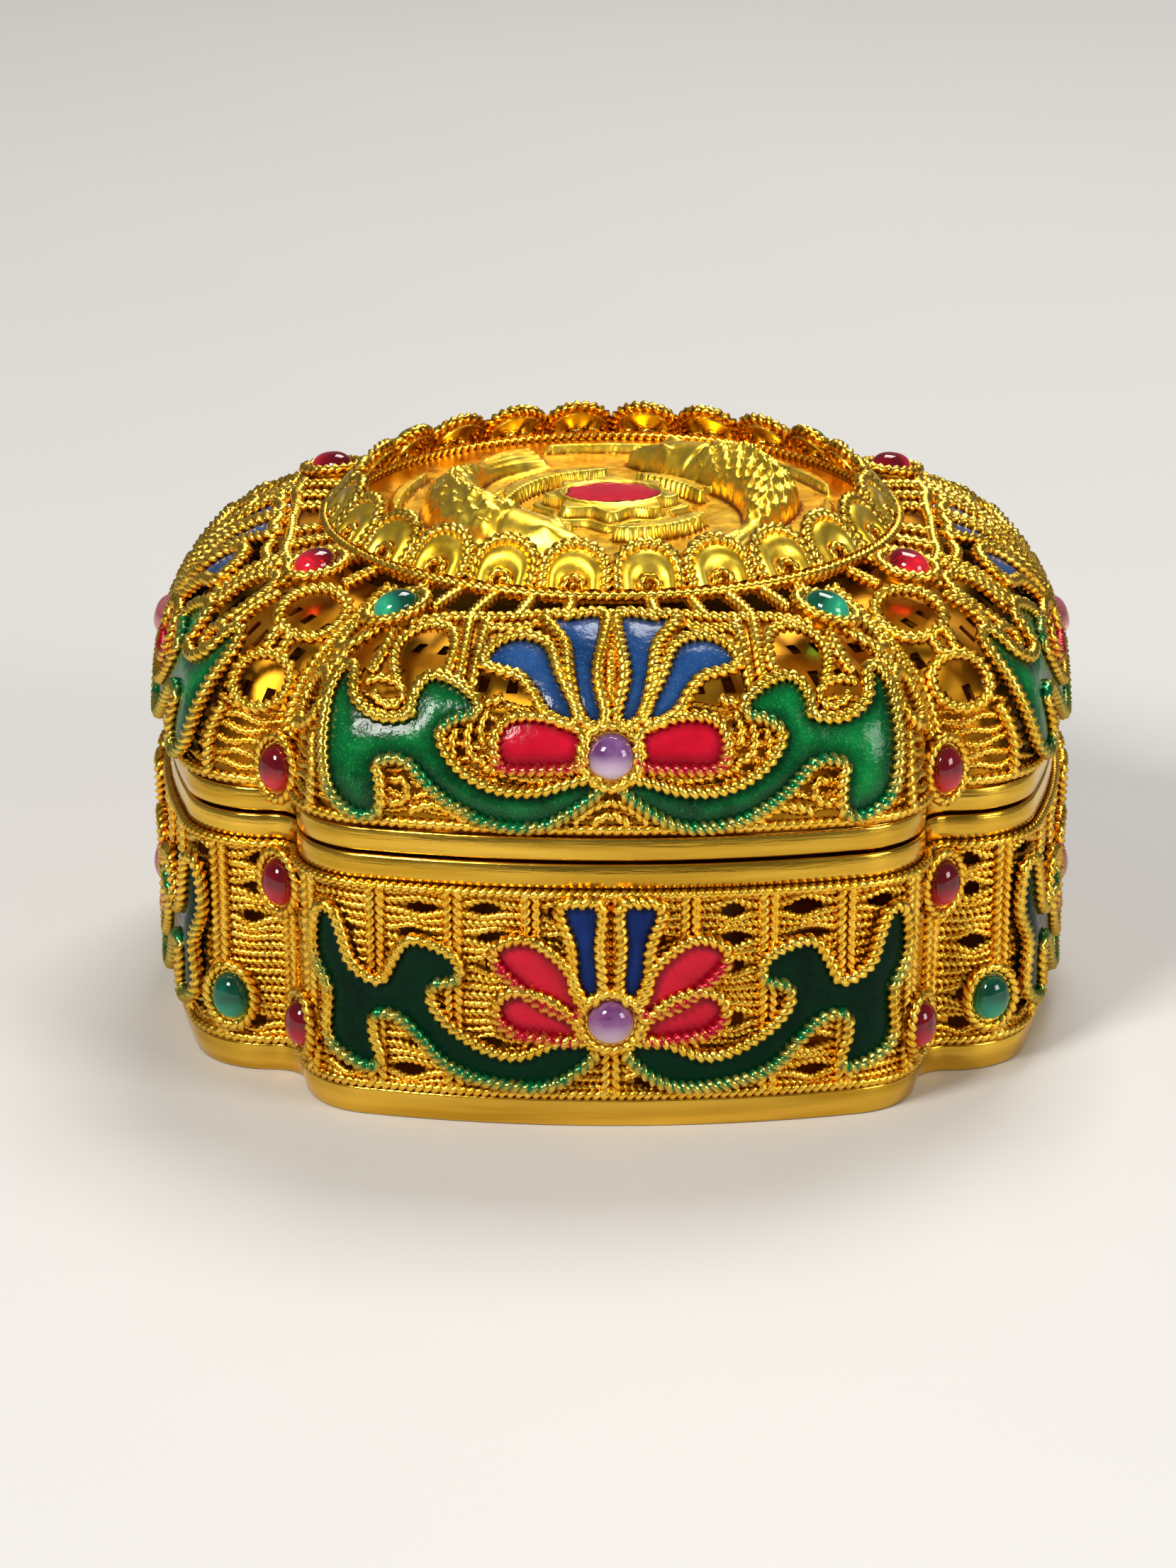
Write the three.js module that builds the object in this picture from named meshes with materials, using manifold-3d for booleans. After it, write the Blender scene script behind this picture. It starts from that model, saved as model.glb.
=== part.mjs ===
// A small gilt jewel box with a lift-off lid, on a four-lobed plan.
// Millimetres, +Z up, the front lobe towards -Y, the origin under the middle of the base.
// The walls are openwork between plain polished bands. Enamelled leaves and petals stand on every
// lobe, set stones stand beside them, and two carp circle a flower on top of the lid.
import * as THREE from 'three';
import Module from 'manifold-3d';

const wasm = await Module();
wasm.setup();

// Plan: every lobe is a flat arc between two small corner arcs, with a fillet in the valleys.
const REACH = 30;
const FRONT_RADIUS = 62;
const CORNER_RADIUS = 5.6;
const CORNER_X = 14.7;
const VALLEY_RADIUS = 2;
const LOBES = 4;

// Heights.
const FOOT_TOP = 2;
const FLOOR_THICK = 0.9;
const BOX_BAND_BOTTOM = 16.45;
const SEAM = 18.2;
const SEAM_GAP = 0.25;
const LID_BAND_TOP = 19.9;
const COLLAR_TOP = 20.6;
const DOME_BOTTOM = 20.1;
const DOME_TOP = 32;

// Thicknesses and clearances.
const BAND_THICK = 1.3;
const COLLAR_GAP = 0.3;
const COLLAR_THICK = 0.7;
const WALL_THICK = 1.2;
const WALL_TAPER = 0.4;
const TAPER_HEIGHT = 18;
const JOIN_GAP = 0.06;
const WELD_STEPS = 10000;

// Dome: a superellipse from the plan at the rim to a circle under the medallion.
const RING_RADIUS = 18.6;
const DOME_POWER = 2.4;
const CREASE_DEPTH = 1.6;
const CREASE_WIDTH = 4;
const CREASE_SHIFT = 1.5;
const DOME_SAMPLES = 400;

// Openwork: the bars and openings of half a lobe, as places along the plan from the lobe's middle.
const BAR_EDGES = [1.3, 6.4, 8.4, 13.6, 16.35, 21.2];
const OPEN_COLUMNS = [0, 2, 4];
const WALL_ROWS = [2.06, 3.5, 8.4, 9.8, 15, 16.39];
const WALL_OPEN_ROWS = [1, 3];
const DOME_ROWS = [0, 1.5, 6.4, 8, 13.2, 16];
const DOME_OPEN_ROWS = [1, 3];
const BAND_STEPS = [0, 8.2, 16.35, 20.1, 23.78];

// Relief of leaves and petals.
const RELIEF_FOOT = 0.5;
const RELIEF_TOP = 1.5;
const RELIEF_STEP = 0.05;
const SETTING_RADIUS = 2.3;

// Stones: cabochons, low domes with a flat back.
const STONE_RADIUS = 1.5;
const STONE_HEIGHT = 1.15;
const STONE_SIDES = 6;
const STONE_SHOULDER = 0.74;
const STONE_SEAT = 0.12;
const SHOULDER_SEAT = 0.45;
const VALLEY_SEAT = 0.85;

// Places of the stones on a lobe, along the plan and up the wall or the dome.
const FRONT_SHOULDER = [19.2, 14.4];
const SIDE_SHOULDER = [17.4, 15.6];
const BOX_CORNER = [21.2, 5.4];
const LID_VALLEY_T = 1.7;
const BOX_VALLEY_T = 13.9;

// Medallion and its gallery of arches.
const PLATE_RADIUS = 19.3;
const PLATE_THICK = 0.7;
const ARCHES = 24;
const ARCH_FOOT = 18.9;
const ARCH_HEAD = 16.5;
const ARCH_RISE = 2.7;
const ARCH_THICK = 0.8;
const CARP_RADIUS = 10.4;
const CARP_START = 112;
const CARP_SWEEP = 152;
const CARP_WIDTH = 2.9;
const CARP_HEIGHT = 2.5;
const FLOWER_RADIUS = 4.7;
const FLOWER_LOBE = 0.5;
const FLOWER_PETALS = 8;
const FLOWER_HEIGHT = 1.2;
const ENAMEL_WIDTH = 3.2;
const ENAMEL_DEPTH = 2.5;
const ENAMEL_THICK = 0.5;

const GOLD = { color: 0xd9a326, roughness: 0.28, metalness: 1 };
const OPENWORK = { color: 0xc9921e, roughness: 0.38, metalness: 1 };
const ENAMEL = { color: 0x0b5a36, roughness: 0.2, metalness: 0.1 };
const ENAMEL_RED = { color: 0xb3122a, roughness: 0.2, metalness: 0.1 };
const RUBY = { color: 0x9c1230, roughness: 0.08, metalness: 0 };
const EMERALD = { color: 0x0c7a5c, roughness: 0.08, metalness: 0 };
const AMETHYST = { color: 0xa67ab8, roughness: 0.08, metalness: 0 };
const ROSE = { color: 0xd27b86, roughness: 0.08, metalness: 0 };

// The plan's tangent points and arc lengths follow from its radii.
const frontCentreY = FRONT_RADIUS - REACH;
const frontAngle = Math.asin(CORNER_X / (FRONT_RADIUS - CORNER_RADIUS));
const cornerY = frontCentreY - (FRONT_RADIUS - CORNER_RADIUS) * Math.cos(frontAngle);
const cornerOff = Math.abs(CORNER_X + cornerY) / Math.SQRT2;
const cornerAlong = (CORNER_X - cornerY) / Math.SQRT2;
const filletReach = cornerAlong + Math.sqrt((CORNER_RADIUS + VALLEY_RADIUS) ** 2 - cornerOff ** 2);
const filletX = filletReach / Math.SQRT2;
const cornerEnd = Math.atan2(-filletX - cornerY, filletX - CORNER_X);
const frontLength = FRONT_RADIUS * frontAngle;
const cornerLength = frontLength + CORNER_RADIUS * (cornerEnd + Math.PI / 2 - frontAngle);
const HALF_LOBE = cornerLength + VALLEY_RADIUS * (cornerEnd + Math.PI / 4);

// Point and outward direction of the plan at a distance s from the front lobe's middle.
function planAt(s) {
  const along = Math.abs(s);
  const side = s < 0 ? -1 : 1;
  if (along <= frontLength) {
    const turn = along / FRONT_RADIUS;
    const out = new THREE.Vector2(Math.sin(turn), -Math.cos(turn));
    const point = out.clone().multiplyScalar(FRONT_RADIUS).add(new THREE.Vector2(0, frontCentreY));
    return { x: side * point.x, y: point.y, nx: side * out.x, ny: out.y };
  }
  if (along <= cornerLength) {
    const turn = frontAngle - Math.PI / 2 + (along - frontLength) / CORNER_RADIUS;
    const out = new THREE.Vector2(Math.cos(turn), Math.sin(turn));
    const point = out.clone().multiplyScalar(CORNER_RADIUS).add(new THREE.Vector2(CORNER_X, cornerY));
    return { x: side * point.x, y: point.y, nx: side * out.x, ny: out.y };
  }
  const turn = Math.PI + cornerEnd - (along - cornerLength) / VALLEY_RADIUS;
  const out = new THREE.Vector2(-Math.cos(turn), -Math.sin(turn));
  const x = filletX - VALLEY_RADIUS * out.x;
  const y = -filletX - VALLEY_RADIUS * out.y;
  return { x: side * x, y, nx: side * out.x, ny: out.y };
}

function wallSurface(s, z) {
  const plan = planAt(s);
  const inset = WALL_TAPER * (1 - z / TAPER_HEIGHT);
  return new THREE.Vector3(plan.x - plan.nx * inset, plan.y - plan.ny * inset, z);
}

function domeProfile(share) {
  const turn = share * Math.PI / 2;
  const power = 2 / DOME_POWER;
  return { spread: Math.cos(turn) ** power, rise: Math.sin(turn) ** power };
}

// Arc length along the dome at a lobe's middle, so that places on it are in millimetres.
const domeLengths = [0];
for (let i = 1; i <= DOME_SAMPLES; i += 1) {
  const from = domeProfile((i - 1) / DOME_SAMPLES);
  const to = domeProfile(i / DOME_SAMPLES);
  const across = (to.spread - from.spread) * (REACH - RING_RADIUS);
  const up = (to.rise - from.rise) * (DOME_TOP - DOME_BOTTOM);
  domeLengths.push(domeLengths[i - 1] + Math.hypot(across, up));
}
const DOME_LENGTH = domeLengths[DOME_SAMPLES];

function domeShare(length) {
  const wanted = Math.min(Math.max(length, 0), DOME_LENGTH);
  let i = 1;
  while (i < DOME_SAMPLES && domeLengths[i] < wanted) i += 1;
  const part = (wanted - domeLengths[i - 1]) / (domeLengths[i] - domeLengths[i - 1]);
  return (i - 1 + part) / DOME_SAMPLES;
}

function domeSurface(s, length) {
  const { spread, rise } = domeProfile(domeShare(length));
  const plan = planAt(s);
  const turn = s / HALF_LOBE * Math.PI / LOBES;
  const share = Math.min(Math.max(length / DOME_LENGTH, 0), 1);
  const near = Math.exp(-(((HALF_LOBE - Math.abs(s)) / CREASE_WIDTH) ** 2));
  const sag = CREASE_DEPTH * near * Math.sin(Math.PI * share ** CREASE_SHIFT);
  return new THREE.Vector3(
    plan.x * spread + RING_RADIUS * Math.sin(turn) * (1 - spread),
    plan.y * spread - RING_RADIUS * Math.cos(turn) * (1 - spread),
    DOME_BOTTOM + (DOME_TOP - DOME_BOTTOM) * rise - sag,
  );
}

// A surface's point raised by a height along its own outward direction.
const PROBE = 0.01;
function raised(surface, s, t, height) {
  const alongS = surface(s + PROBE, t).sub(surface(s - PROBE, t));
  const alongT = surface(s, t + PROBE).sub(surface(s, t - PROBE));
  const out = alongS.cross(alongT).normalize();
  return surface(s, t).addScaledVector(out, height);
}

function onLobe(point, lobe) {
  return point.applyAxisAngle(new THREE.Vector3(0, 0, 1), lobe * Math.PI * 2 / LOBES);
}

// Closed solids from points and triangles.
function solidOf(points, triangles) {
  const vertProperties = new Float32Array(points.flatMap((p) => [p.x, p.y, p.z]));
  const triVerts = new Uint32Array(triangles.flat());
  return new wasm.Manifold(new wasm.Mesh({ numProp: 3, vertProperties, triVerts }));
}

function quad(a, b, c, d) {
  return [[a, b, c], [a, c, d]];
}

// Places along the whole plan, from one lobe's list of places on its half.
function planPlaces(halfPlaces) {
  const places = [];
  for (let lobe = 0; lobe < LOBES; lobe += 1) {
    const left = halfPlaces.filter((s) => s > 0).map((s) => -s).reverse();
    const lobePlaces = [...left, ...halfPlaces, HALF_LOBE];
    lobePlaces.forEach((s) => places.push({ s, lobe }));
  }
  return places;
}

// A section of [offset, height] pairs carried round the plan; ends on the middle if it is filled.
function planSweep(section, filled) {
  const places = planPlaces(BAND_STEPS);
  const points = [];
  for (const [offset, z] of section) {
    for (const { s, lobe } of places) {
      const plan = planAt(s);
      const point = new THREE.Vector3(plan.x + plan.nx * offset, plan.y + plan.ny * offset, z);
      points.push(onLobe(point, lobe));
    }
  }
  const count = places.length;
  const triangles = [];
  const bands = filled ? section.length - 1 : section.length;
  for (let row = 0; row < bands; row += 1) {
    const above = (row + 1) % section.length;
    for (let i = 0; i < count; i += 1) {
      const next = (i + 1) % count;
      const corners = [row * count + i, row * count + next, above * count + next, above * count + i];
      triangles.push(...quad(...corners));
    }
  }
  if (filled) {
    const bottom = points.push(new THREE.Vector3(0, 0, section[0][1])) - 1;
    const top = points.push(new THREE.Vector3(0, 0, section[section.length - 1][1])) - 1;
    const last = (section.length - 1) * count;
    for (let i = 0; i < count; i += 1) {
      const next = (i + 1) % count;
      triangles.push([bottom, next, i], [top, last + i, last + next]);
    }
  }
  return solidOf(points, triangles);
}

// A shell on a surface, with a grid of bars and openings.
function openworkShell(surface, rows, openRows, keepsBar) {
  const places = planPlaces(BAR_EDGES);
  const count = places.length;
  const layer = rows.length * count;
  const points = [];
  for (const height of [0, -WALL_THICK]) {
    for (const t of rows) {
      for (const { s, lobe } of places) points.push(onLobe(raised(surface, s, t, height), lobe));
    }
  }
  const isOpen = (i, row) => {
    if (row < 0 || row >= rows.length - 1 || !openRows.includes(row)) return false;
    const from = places[i].s;
    const to = places[(i + 1) % count].s;
    const near = Math.min(Math.abs(from), Math.abs(to));
    const column = BAR_EDGES.indexOf(near);
    const oneSide = from * to > 0 && Math.abs(to - from) < HALF_LOBE;
    return oneSide && OPEN_COLUMNS.includes(column) && !keepsBar(near, row);
  };
  const triangles = [];
  for (let row = 0; row < rows.length - 1; row += 1) {
    for (let i = 0; i < count; i += 1) {
      if (isOpen(i, row)) continue;
      const next = (i + 1) % count;
      const [a, b] = [row * count + i, row * count + next];
      const [c, d] = [b + count, a + count];
      triangles.push(...quad(a, b, c, d), ...quad(a + layer, d + layer, c + layer, b + layer));
      if (row === 0 || isOpen(i, row - 1)) triangles.push(...quad(b, a, a + layer, b + layer));
      if (row === rows.length - 2 || isOpen(i, row + 1)) {
        triangles.push(...quad(d, c, c + layer, d + layer));
      }
      if (isOpen((i + count - 1) % count, row)) triangles.push(...quad(a, d, d + layer, a + layer));
      if (isOpen(next, row)) triangles.push(...quad(c, b, b + layer, c + layer));
    }
  }
  return solidOf(points, triangles);
}

// A raised plaque on a surface, from its outline of [s, t] pairs on the lobe's left or right half.
// Plaques that cross lie in different layers, each a little lower than the one before it.
function plaque(surface, outline, side, layer) {
  const contour = outline.map(([s, t]) => new THREE.Vector2(side * s, t));
  if (THREE.ShapeUtils.isClockWise(contour)) contour.reverse();
  const count = contour.length;
  const foot = RELIEF_FOOT + layer * RELIEF_STEP;
  const top = RELIEF_TOP - layer * RELIEF_STEP;
  const points = [foot, top].flatMap((height) => contour.map((p) => raised(surface, p.x, p.y, height)));
  const triangles = [];
  for (const [a, b, c] of THREE.ShapeUtils.triangulateShape(contour, [])) {
    triangles.push([a, c, b], [a + count, b + count, c + count]);
  }
  for (let i = 0; i < count; i += 1) {
    const next = (i + 1) % count;
    triangles.push(...quad(i, next, next + count, i + count));
  }
  return solidOf(points, triangles);
}

// Leaves and petals of one lobe, drawn for its left half and mirrored.
const LID_MOTIF = {
  centre: 5.1,
  outlines: [
    [[-0.6, 3.2], [-6.2, 0.9], [-10.4, 2.6], [-12.6, 4.5], [-15.5, 4.3], [-15.1, 1.3], [-17.6, 2.3],
      [-18.9, 9.5], [-18, 7.6], [-16, 6.6], [-12.9, 7], [-13.1, 9.1], [-10.9, 8.9], [-9.2, 7.7],
      [-11.5, 6.3], [-9.5, 3.6], [-5.6, 2.4], [-1, 4]],
    [[-7.1, 5], [-7, 6.5], [-5.2, 7.1], [-1.6, 6], [-1.6, 4.9], [-4.7, 4.5]],
    [[-5.5, 14.7], [-0.8, 14.9], [-0.6, 6.9], [-1.4, 6.8], [-2.9, 11.2]],
    [[-8.5, 10.8], [-6.7, 12.1], [-4.7, 11.4], [-1.5, 6.6], [-1.8, 6.1], [-4.4, 7.7]],
  ],
};
const BOX_MOTIF = {
  centre: 7.6,
  outlines: [
    [[-0.6, 5.7], [-5.5, 3.1], [-10.2, 4.4], [-13.3, 7.5], [-15.6, 7.3], [-15.2, 4], [-18, 5.6],
      [-17.9, 8.7], [-19, 11.1], [-18.3, 14], [-17, 10.6], [-14.4, 9.6], [-12.8, 12.4], [-9.9, 10.9],
      [-11.8, 9.6], [-10.6, 6.8], [-6.4, 4.7], [-1, 6.4]],
    [[-2.9, 15.4], [-0.9, 15.5], [-0.6, 9.4], [-1.4, 9.2]],
    [[-7.1, 11.8], [-5.2, 12.8], [-3.3, 11.5], [-1.4, 8.9], [-1.7, 8.4], [-4.6, 9.3]],
    [[-7, 8], [-5.4, 9.2], [-1.8, 7.6], [-1.8, 6.9], [-4.2, 6.6]],
  ],
};

function motif(surface, plan) {
  const setting = Array.from({ length: STONE_SIDES }, (_, i) => {
    const turn = (i + 0.5) / STONE_SIDES * Math.PI * 2;
    return [SETTING_RADIUS * Math.cos(turn), plan.centre + SETTING_RADIUS * Math.sin(turn)];
  });
  let solid = plaque(surface, setting, 1, 0);
  for (const side of [1, -1]) {
    plan.outlines.forEach((outline, i) => {
      solid = solid.add(plaque(surface, outline, side, 1 + i));
    });
  }
  return solid;
}

// A cabochon standing on a surface at its own seat height.
function stone(surface, s, t, seat) {
  const profile = [[0, 0], [1, 0], [STONE_SHOULDER, STONE_HEIGHT * STONE_SHOULDER], [0, STONE_HEIGHT]]
    .map(([r, h]) => new THREE.Vector2(r * STONE_RADIUS, h));
  const cabochon = new THREE.LatheGeometry(profile, STONE_SIDES);
  const foot = raised(surface, s, t, seat);
  const out = raised(surface, s, t, seat + 1).sub(foot).normalize();
  const turn = new THREE.Quaternion().setFromUnitVectors(new THREE.Vector3(0, 1, 0), out);
  const { points, triangles } = welded(cabochon);
  return solidOf(points.map((p) => p.applyQuaternion(turn).add(foot)), triangles);
}

// A geometry's points with its seams closed.
function welded(geometry) {
  const position = geometry.getAttribute('position');
  const keys = new Map();
  const points = [];
  const ids = [];
  for (let i = 0; i < position.count; i += 1) {
    const point = new THREE.Vector3().fromBufferAttribute(position, i);
    const key = point.toArray().map((v) => Math.round(v * WELD_STEPS)).join();
    if (!keys.has(key)) keys.set(key, points.push(point) - 1);
    ids.push(keys.get(key));
  }
  const index = Array.from(geometry.getIndex().array, (i) => ids[i]);
  const triangles = [];
  for (let i = 0; i < index.length; i += 3) {
    const [a, b, c] = index.slice(i, i + 3);
    if (a !== b && b !== c && c !== a) triangles.push([a, b, c]);
  }
  return { points, triangles };
}

// The gallery: a leaning ring of round-headed arches, each pierced by a small opening.
function gallery() {
  const foot = DOME_TOP + JOIN_GAP + PLATE_THICK + JOIN_GAP;
  const pitch = Math.PI * 2 / ARCHES;
  const unit = [[0, 0], [0, 0.5], [0.2, 0.92], [0.8, 0.92], [0.3, 0.16], [0.7, 0.16], [0.5, 0.55]];
  const points = [];
  for (const inset of [0, ARCH_THICK]) {
    for (let arch = 0; arch < ARCHES; arch += 1) {
      for (const [across, up] of unit) {
        const turn = (arch + across) * pitch;
        const radius = ARCH_FOOT + (ARCH_HEAD - ARCH_FOOT) * up - inset;
        const point = new THREE.Vector3(radius, 0, foot + ARCH_RISE * up);
        points.push(point.applyAxisAngle(new THREE.Vector3(0, 0, 1), turn));
      }
    }
  }
  const size = unit.length;
  const layer = ARCHES * size;
  const triangles = [];
  for (let arch = 0; arch < ARCHES; arch += 1) {
    const [base, dip, left, right, h1, h2, h3] = unit.map((_, i) => arch * size + i);
    const nextBase = ((arch + 1) % ARCHES) * size;
    const nextDip = nextBase + 1;
    const face = [[base, nextBase, h2], [base, h2, h1], [base, h1, dip], [dip, h1, h3], [dip, h3, left],
      [left, h3, right], [right, h3, nextDip], [nextDip, h3, h2], [nextDip, h2, nextBase]];
    face.forEach(([a, b, c]) => triangles.push([a, b, c], [a + layer, c + layer, b + layer]));
    const rims = [[base, nextBase], [nextDip, right], [right, left], [left, dip], [h1, h3], [h3, h2],
      [h2, h1]];
    rims.forEach(([a, b]) => triangles.push(...quad(b, a, a + layer, b + layer)));
  }
  return solidOf(points, triangles);
}

// A carp lying on the plate along an arc: stations of [share of arc, width, height, shift outwards].
const CARP_STATIONS = [[0, 0.15, 0.3, 0], [0.06, 0.62, 0.66, 0], [0.18, 0.9, 0.92, 0.2], [0.34, 1, 1, 0.5],
  [0.52, 0.85, 0.85, 0.4], [0.68, 0.55, 0.62, 0], [0.8, 0.34, 0.45, 0.2], [0.9, 0.75, 0.36, 0.9],
  [1, 1.1, 0.24, 1.6]];
const CARP_SECTION = [[-1, -0.15], [1, -0.15], [0.86, 0.5], [0, 1], [-0.86, 0.5]];

function carp(turnAbout) {
  const ground = DOME_TOP + JOIN_GAP + PLATE_THICK;
  const size = CARP_SECTION.length;
  const points = [];
  for (const [share, width, height, shift] of CARP_STATIONS) {
    const turn = THREE.MathUtils.degToRad(CARP_START + CARP_SWEEP * (1 - share)) + turnAbout;
    for (const [across, up] of CARP_SECTION) {
      const radius = CARP_RADIUS + shift + across * width * CARP_WIDTH;
      const point = new THREE.Vector3(radius, 0, ground + up * height * CARP_HEIGHT);
      points.push(point.applyAxisAngle(new THREE.Vector3(0, 0, 1), turn));
    }
  }
  const triangles = [];
  const last = (CARP_STATIONS.length - 1) * size;
  for (let i = 0; i < CARP_STATIONS.length - 1; i += 1) {
    for (let corner = 0; corner < size; corner += 1) {
      const [a, b] = [i * size + corner, i * size + (corner + 1) % size];
      triangles.push(...quad(a, b, b + size, a + size));
    }
  }
  for (let corner = 1; corner < size - 1; corner += 1) {
    triangles.push([0, corner + 1, corner], [last, last + corner, last + corner + 1]);
  }
  return solidOf(points, triangles);
}

function disc(radiusAt, sides, bottom, top) {
  const points = [];
  for (const z of [bottom, top]) {
    for (let i = 0; i < sides; i += 1) {
      const turn = i / sides * Math.PI * 2;
      const [rx, ry] = radiusAt(turn);
      points.push(new THREE.Vector3(rx * Math.cos(turn), ry * Math.sin(turn), z));
    }
  }
  const low = points.push(new THREE.Vector3(0, 0, bottom)) - 1;
  const high = points.push(new THREE.Vector3(0, 0, top)) - 1;
  const triangles = [];
  for (let i = 0; i < sides; i += 1) {
    const next = (i + 1) % sides;
    triangles.push(...quad(i, next, next + sides, i + sides));
    triangles.push([low, next, i], [high, i + sides, next + sides]);
  }
  return solidOf(points, triangles);
}

const plateBottom = DOME_TOP + JOIN_GAP;
const plateTop = plateBottom + PLATE_THICK;
const flowerTop = plateTop + FLOWER_HEIGHT;

function medallion() {
  const plate = disc(() => [PLATE_RADIUS, PLATE_RADIUS], ARCHES * 2, plateBottom, plateTop);
  const petal = (turn) => {
    const radius = FLOWER_RADIUS + FLOWER_LOBE * Math.cos(turn * FLOWER_PETALS);
    return [radius, radius];
  };
  const flower = disc(petal, FLOWER_PETALS * 4, plateTop - FLOWER_HEIGHT / 4, flowerTop);
  return plate.add(flower).add(carp(0)).add(carp(Math.PI));
}

function medallionEnamel() {
  const oval = () => [ENAMEL_WIDTH, ENAMEL_DEPTH];
  return disc(oval, FLOWER_PETALS * 2, flowerTop + JOIN_GAP, flowerTop + JOIN_GAP + ENAMEL_THICK);
}

// Bands that frame the openwork.
function baseTray() {
  return planSweep([[-WALL_TAPER, 0], [0, FOOT_TOP], [-BAND_THICK, FOOT_TOP], [-BAND_THICK, FLOOR_THICK]], true);
}

function boxRim() {
  const collarOut = -BAND_THICK - COLLAR_GAP;
  const collarIn = collarOut - COLLAR_THICK;
  const seam = SEAM - SEAM_GAP / 2;
  return planSweep([[collarIn, BOX_BAND_BOTTOM], [0, BOX_BAND_BOTTOM], [0, seam], [collarOut, seam],
    [collarOut, COLLAR_TOP], [collarIn, COLLAR_TOP]], false);
}

function lidRim() {
  const seam = SEAM + SEAM_GAP / 2;
  const top = LID_BAND_TOP;
  return planSweep([[-BAND_THICK, seam], [0, seam], [0, top], [-BAND_THICK, top]], false);
}

const box = new THREE.Group();
box.name = 'jewel_box';

// Adds a piece, made for the front lobe and turned to its own lobe.
function addPiece(name, solid, look, lobe = 0) {
  const { vertProperties, triVerts, numProp } = solid.getMesh();
  const geometry = new THREE.BufferGeometry();
  const position = new Float32Array(vertProperties.length / numProp * 3);
  for (let i = 0; i < position.length / 3; i += 1) {
    position.set(vertProperties.slice(i * numProp, i * numProp + 3), i * 3);
  }
  geometry.setAttribute('position', new THREE.BufferAttribute(position, 3));
  geometry.setIndex(new THREE.BufferAttribute(new Uint32Array(triVerts), 1));
  geometry.computeVertexNormals();
  const mesh = new THREE.Mesh(geometry, new THREE.MeshStandardMaterial(look));
  mesh.name = name;
  mesh.rotation.z = lobe * Math.PI * 2 / LOBES;
  box.add(mesh);
}

// The lowest outer opening beside each valley is filled behind the corner stones.
const cornerColumn = BAR_EDGES[OPEN_COLUMNS.at(-1)];
const isFilled = (near, row) => near === cornerColumn && row === WALL_OPEN_ROWS[0];
const wholeRows = [...DOME_ROWS, DOME_LENGTH];

addPiece('base', baseTray(), GOLD);
addPiece('box_wall', openworkShell(wallSurface, WALL_ROWS, WALL_OPEN_ROWS, isFilled), OPENWORK);
addPiece('box_rim', boxRim(), GOLD);
addPiece('lid_rim', lidRim(), GOLD);
addPiece('lid_dome', openworkShell(domeSurface, wholeRows, DOME_OPEN_ROWS, () => false), OPENWORK);
addPiece('medallion', medallion(), GOLD);
addPiece('medallion_enamel', medallionEnamel(), ENAMEL_RED);
addPiece('gallery', gallery(), GOLD);

// Reliefs and stones of every lobe; the valley stones are on the lobe's right.
const lidMotif = motif(domeSurface, LID_MOTIF);
const boxMotif = motif(wallSurface, BOX_MOTIF);
const settingSeat = RELIEF_TOP + STONE_SEAT;
['front', 'right', 'back', 'left'].forEach((name, lobe) => {
  const onSide = lobe % 2 === 1;
  const centreLook = onSide ? ROSE : AMETHYST;
  addPiece(`lid_motif_${name}`, lidMotif, ENAMEL, lobe);
  addPiece(`box_motif_${name}`, boxMotif, ENAMEL, lobe);
  addPiece(`lid_centre_${name}`, stone(domeSurface, 0, LID_MOTIF.centre, settingSeat), centreLook, lobe);
  addPiece(`box_centre_${name}`, stone(wallSurface, 0, BOX_MOTIF.centre, settingSeat), centreLook, lobe);
  const [shoulderS, shoulderT] = onSide ? SIDE_SHOULDER : FRONT_SHOULDER;
  for (const [sideName, side] of [['l', -1], ['r', 1]]) {
    const shoulder = stone(domeSurface, side * shoulderS, shoulderT, SHOULDER_SEAT);
    addPiece(`lid_shoulder_${name}_${sideName}`, shoulder, onSide ? RUBY : EMERALD, lobe);
    const corner = stone(wallSurface, side * BOX_CORNER[0], BOX_CORNER[1], STONE_SEAT);
    addPiece(`box_corner_${name}_${sideName}`, corner, onSide ? EMERALD : RUBY, lobe);
  }
  addPiece(`lid_valley_${name}`, stone(domeSurface, HALF_LOBE, LID_VALLEY_T, VALLEY_SEAT), RUBY, lobe);
  addPiece(`box_valley_${name}`, stone(wallSurface, HALF_LOBE, BOX_VALLEY_T, VALLEY_SEAT), RUBY, lobe);
});

export default box;
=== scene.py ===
"""Gilt jewel box on a four-lobed plan: twisted-wire openwork, enamelled leaves and petals, stones.

Lengths are millimetres until a mesh is made. The front lobe faces -Y and +Z is up. A place on a
lobe is (s, t): s runs along the plan from the lobe's middle, t up the wall or the dome.
"""
import math
import bpy
import numpy as np
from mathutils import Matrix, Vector
from mathutils.geometry import delaunay_2d_cdt


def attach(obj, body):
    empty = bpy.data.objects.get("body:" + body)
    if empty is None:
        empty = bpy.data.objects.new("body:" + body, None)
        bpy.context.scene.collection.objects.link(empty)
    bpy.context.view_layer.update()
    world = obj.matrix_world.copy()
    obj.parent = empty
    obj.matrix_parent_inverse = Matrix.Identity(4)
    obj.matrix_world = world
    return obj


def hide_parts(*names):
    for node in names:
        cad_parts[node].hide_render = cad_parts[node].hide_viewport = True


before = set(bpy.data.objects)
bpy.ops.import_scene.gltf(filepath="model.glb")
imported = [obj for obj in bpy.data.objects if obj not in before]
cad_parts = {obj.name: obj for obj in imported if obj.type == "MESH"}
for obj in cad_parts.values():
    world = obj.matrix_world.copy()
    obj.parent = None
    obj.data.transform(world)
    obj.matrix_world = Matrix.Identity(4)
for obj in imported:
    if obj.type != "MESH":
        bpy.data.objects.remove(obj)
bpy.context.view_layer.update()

MM = 0.001
LOBES = ("front", "right", "back", "left")
BOTH = (1, -1)

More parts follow.
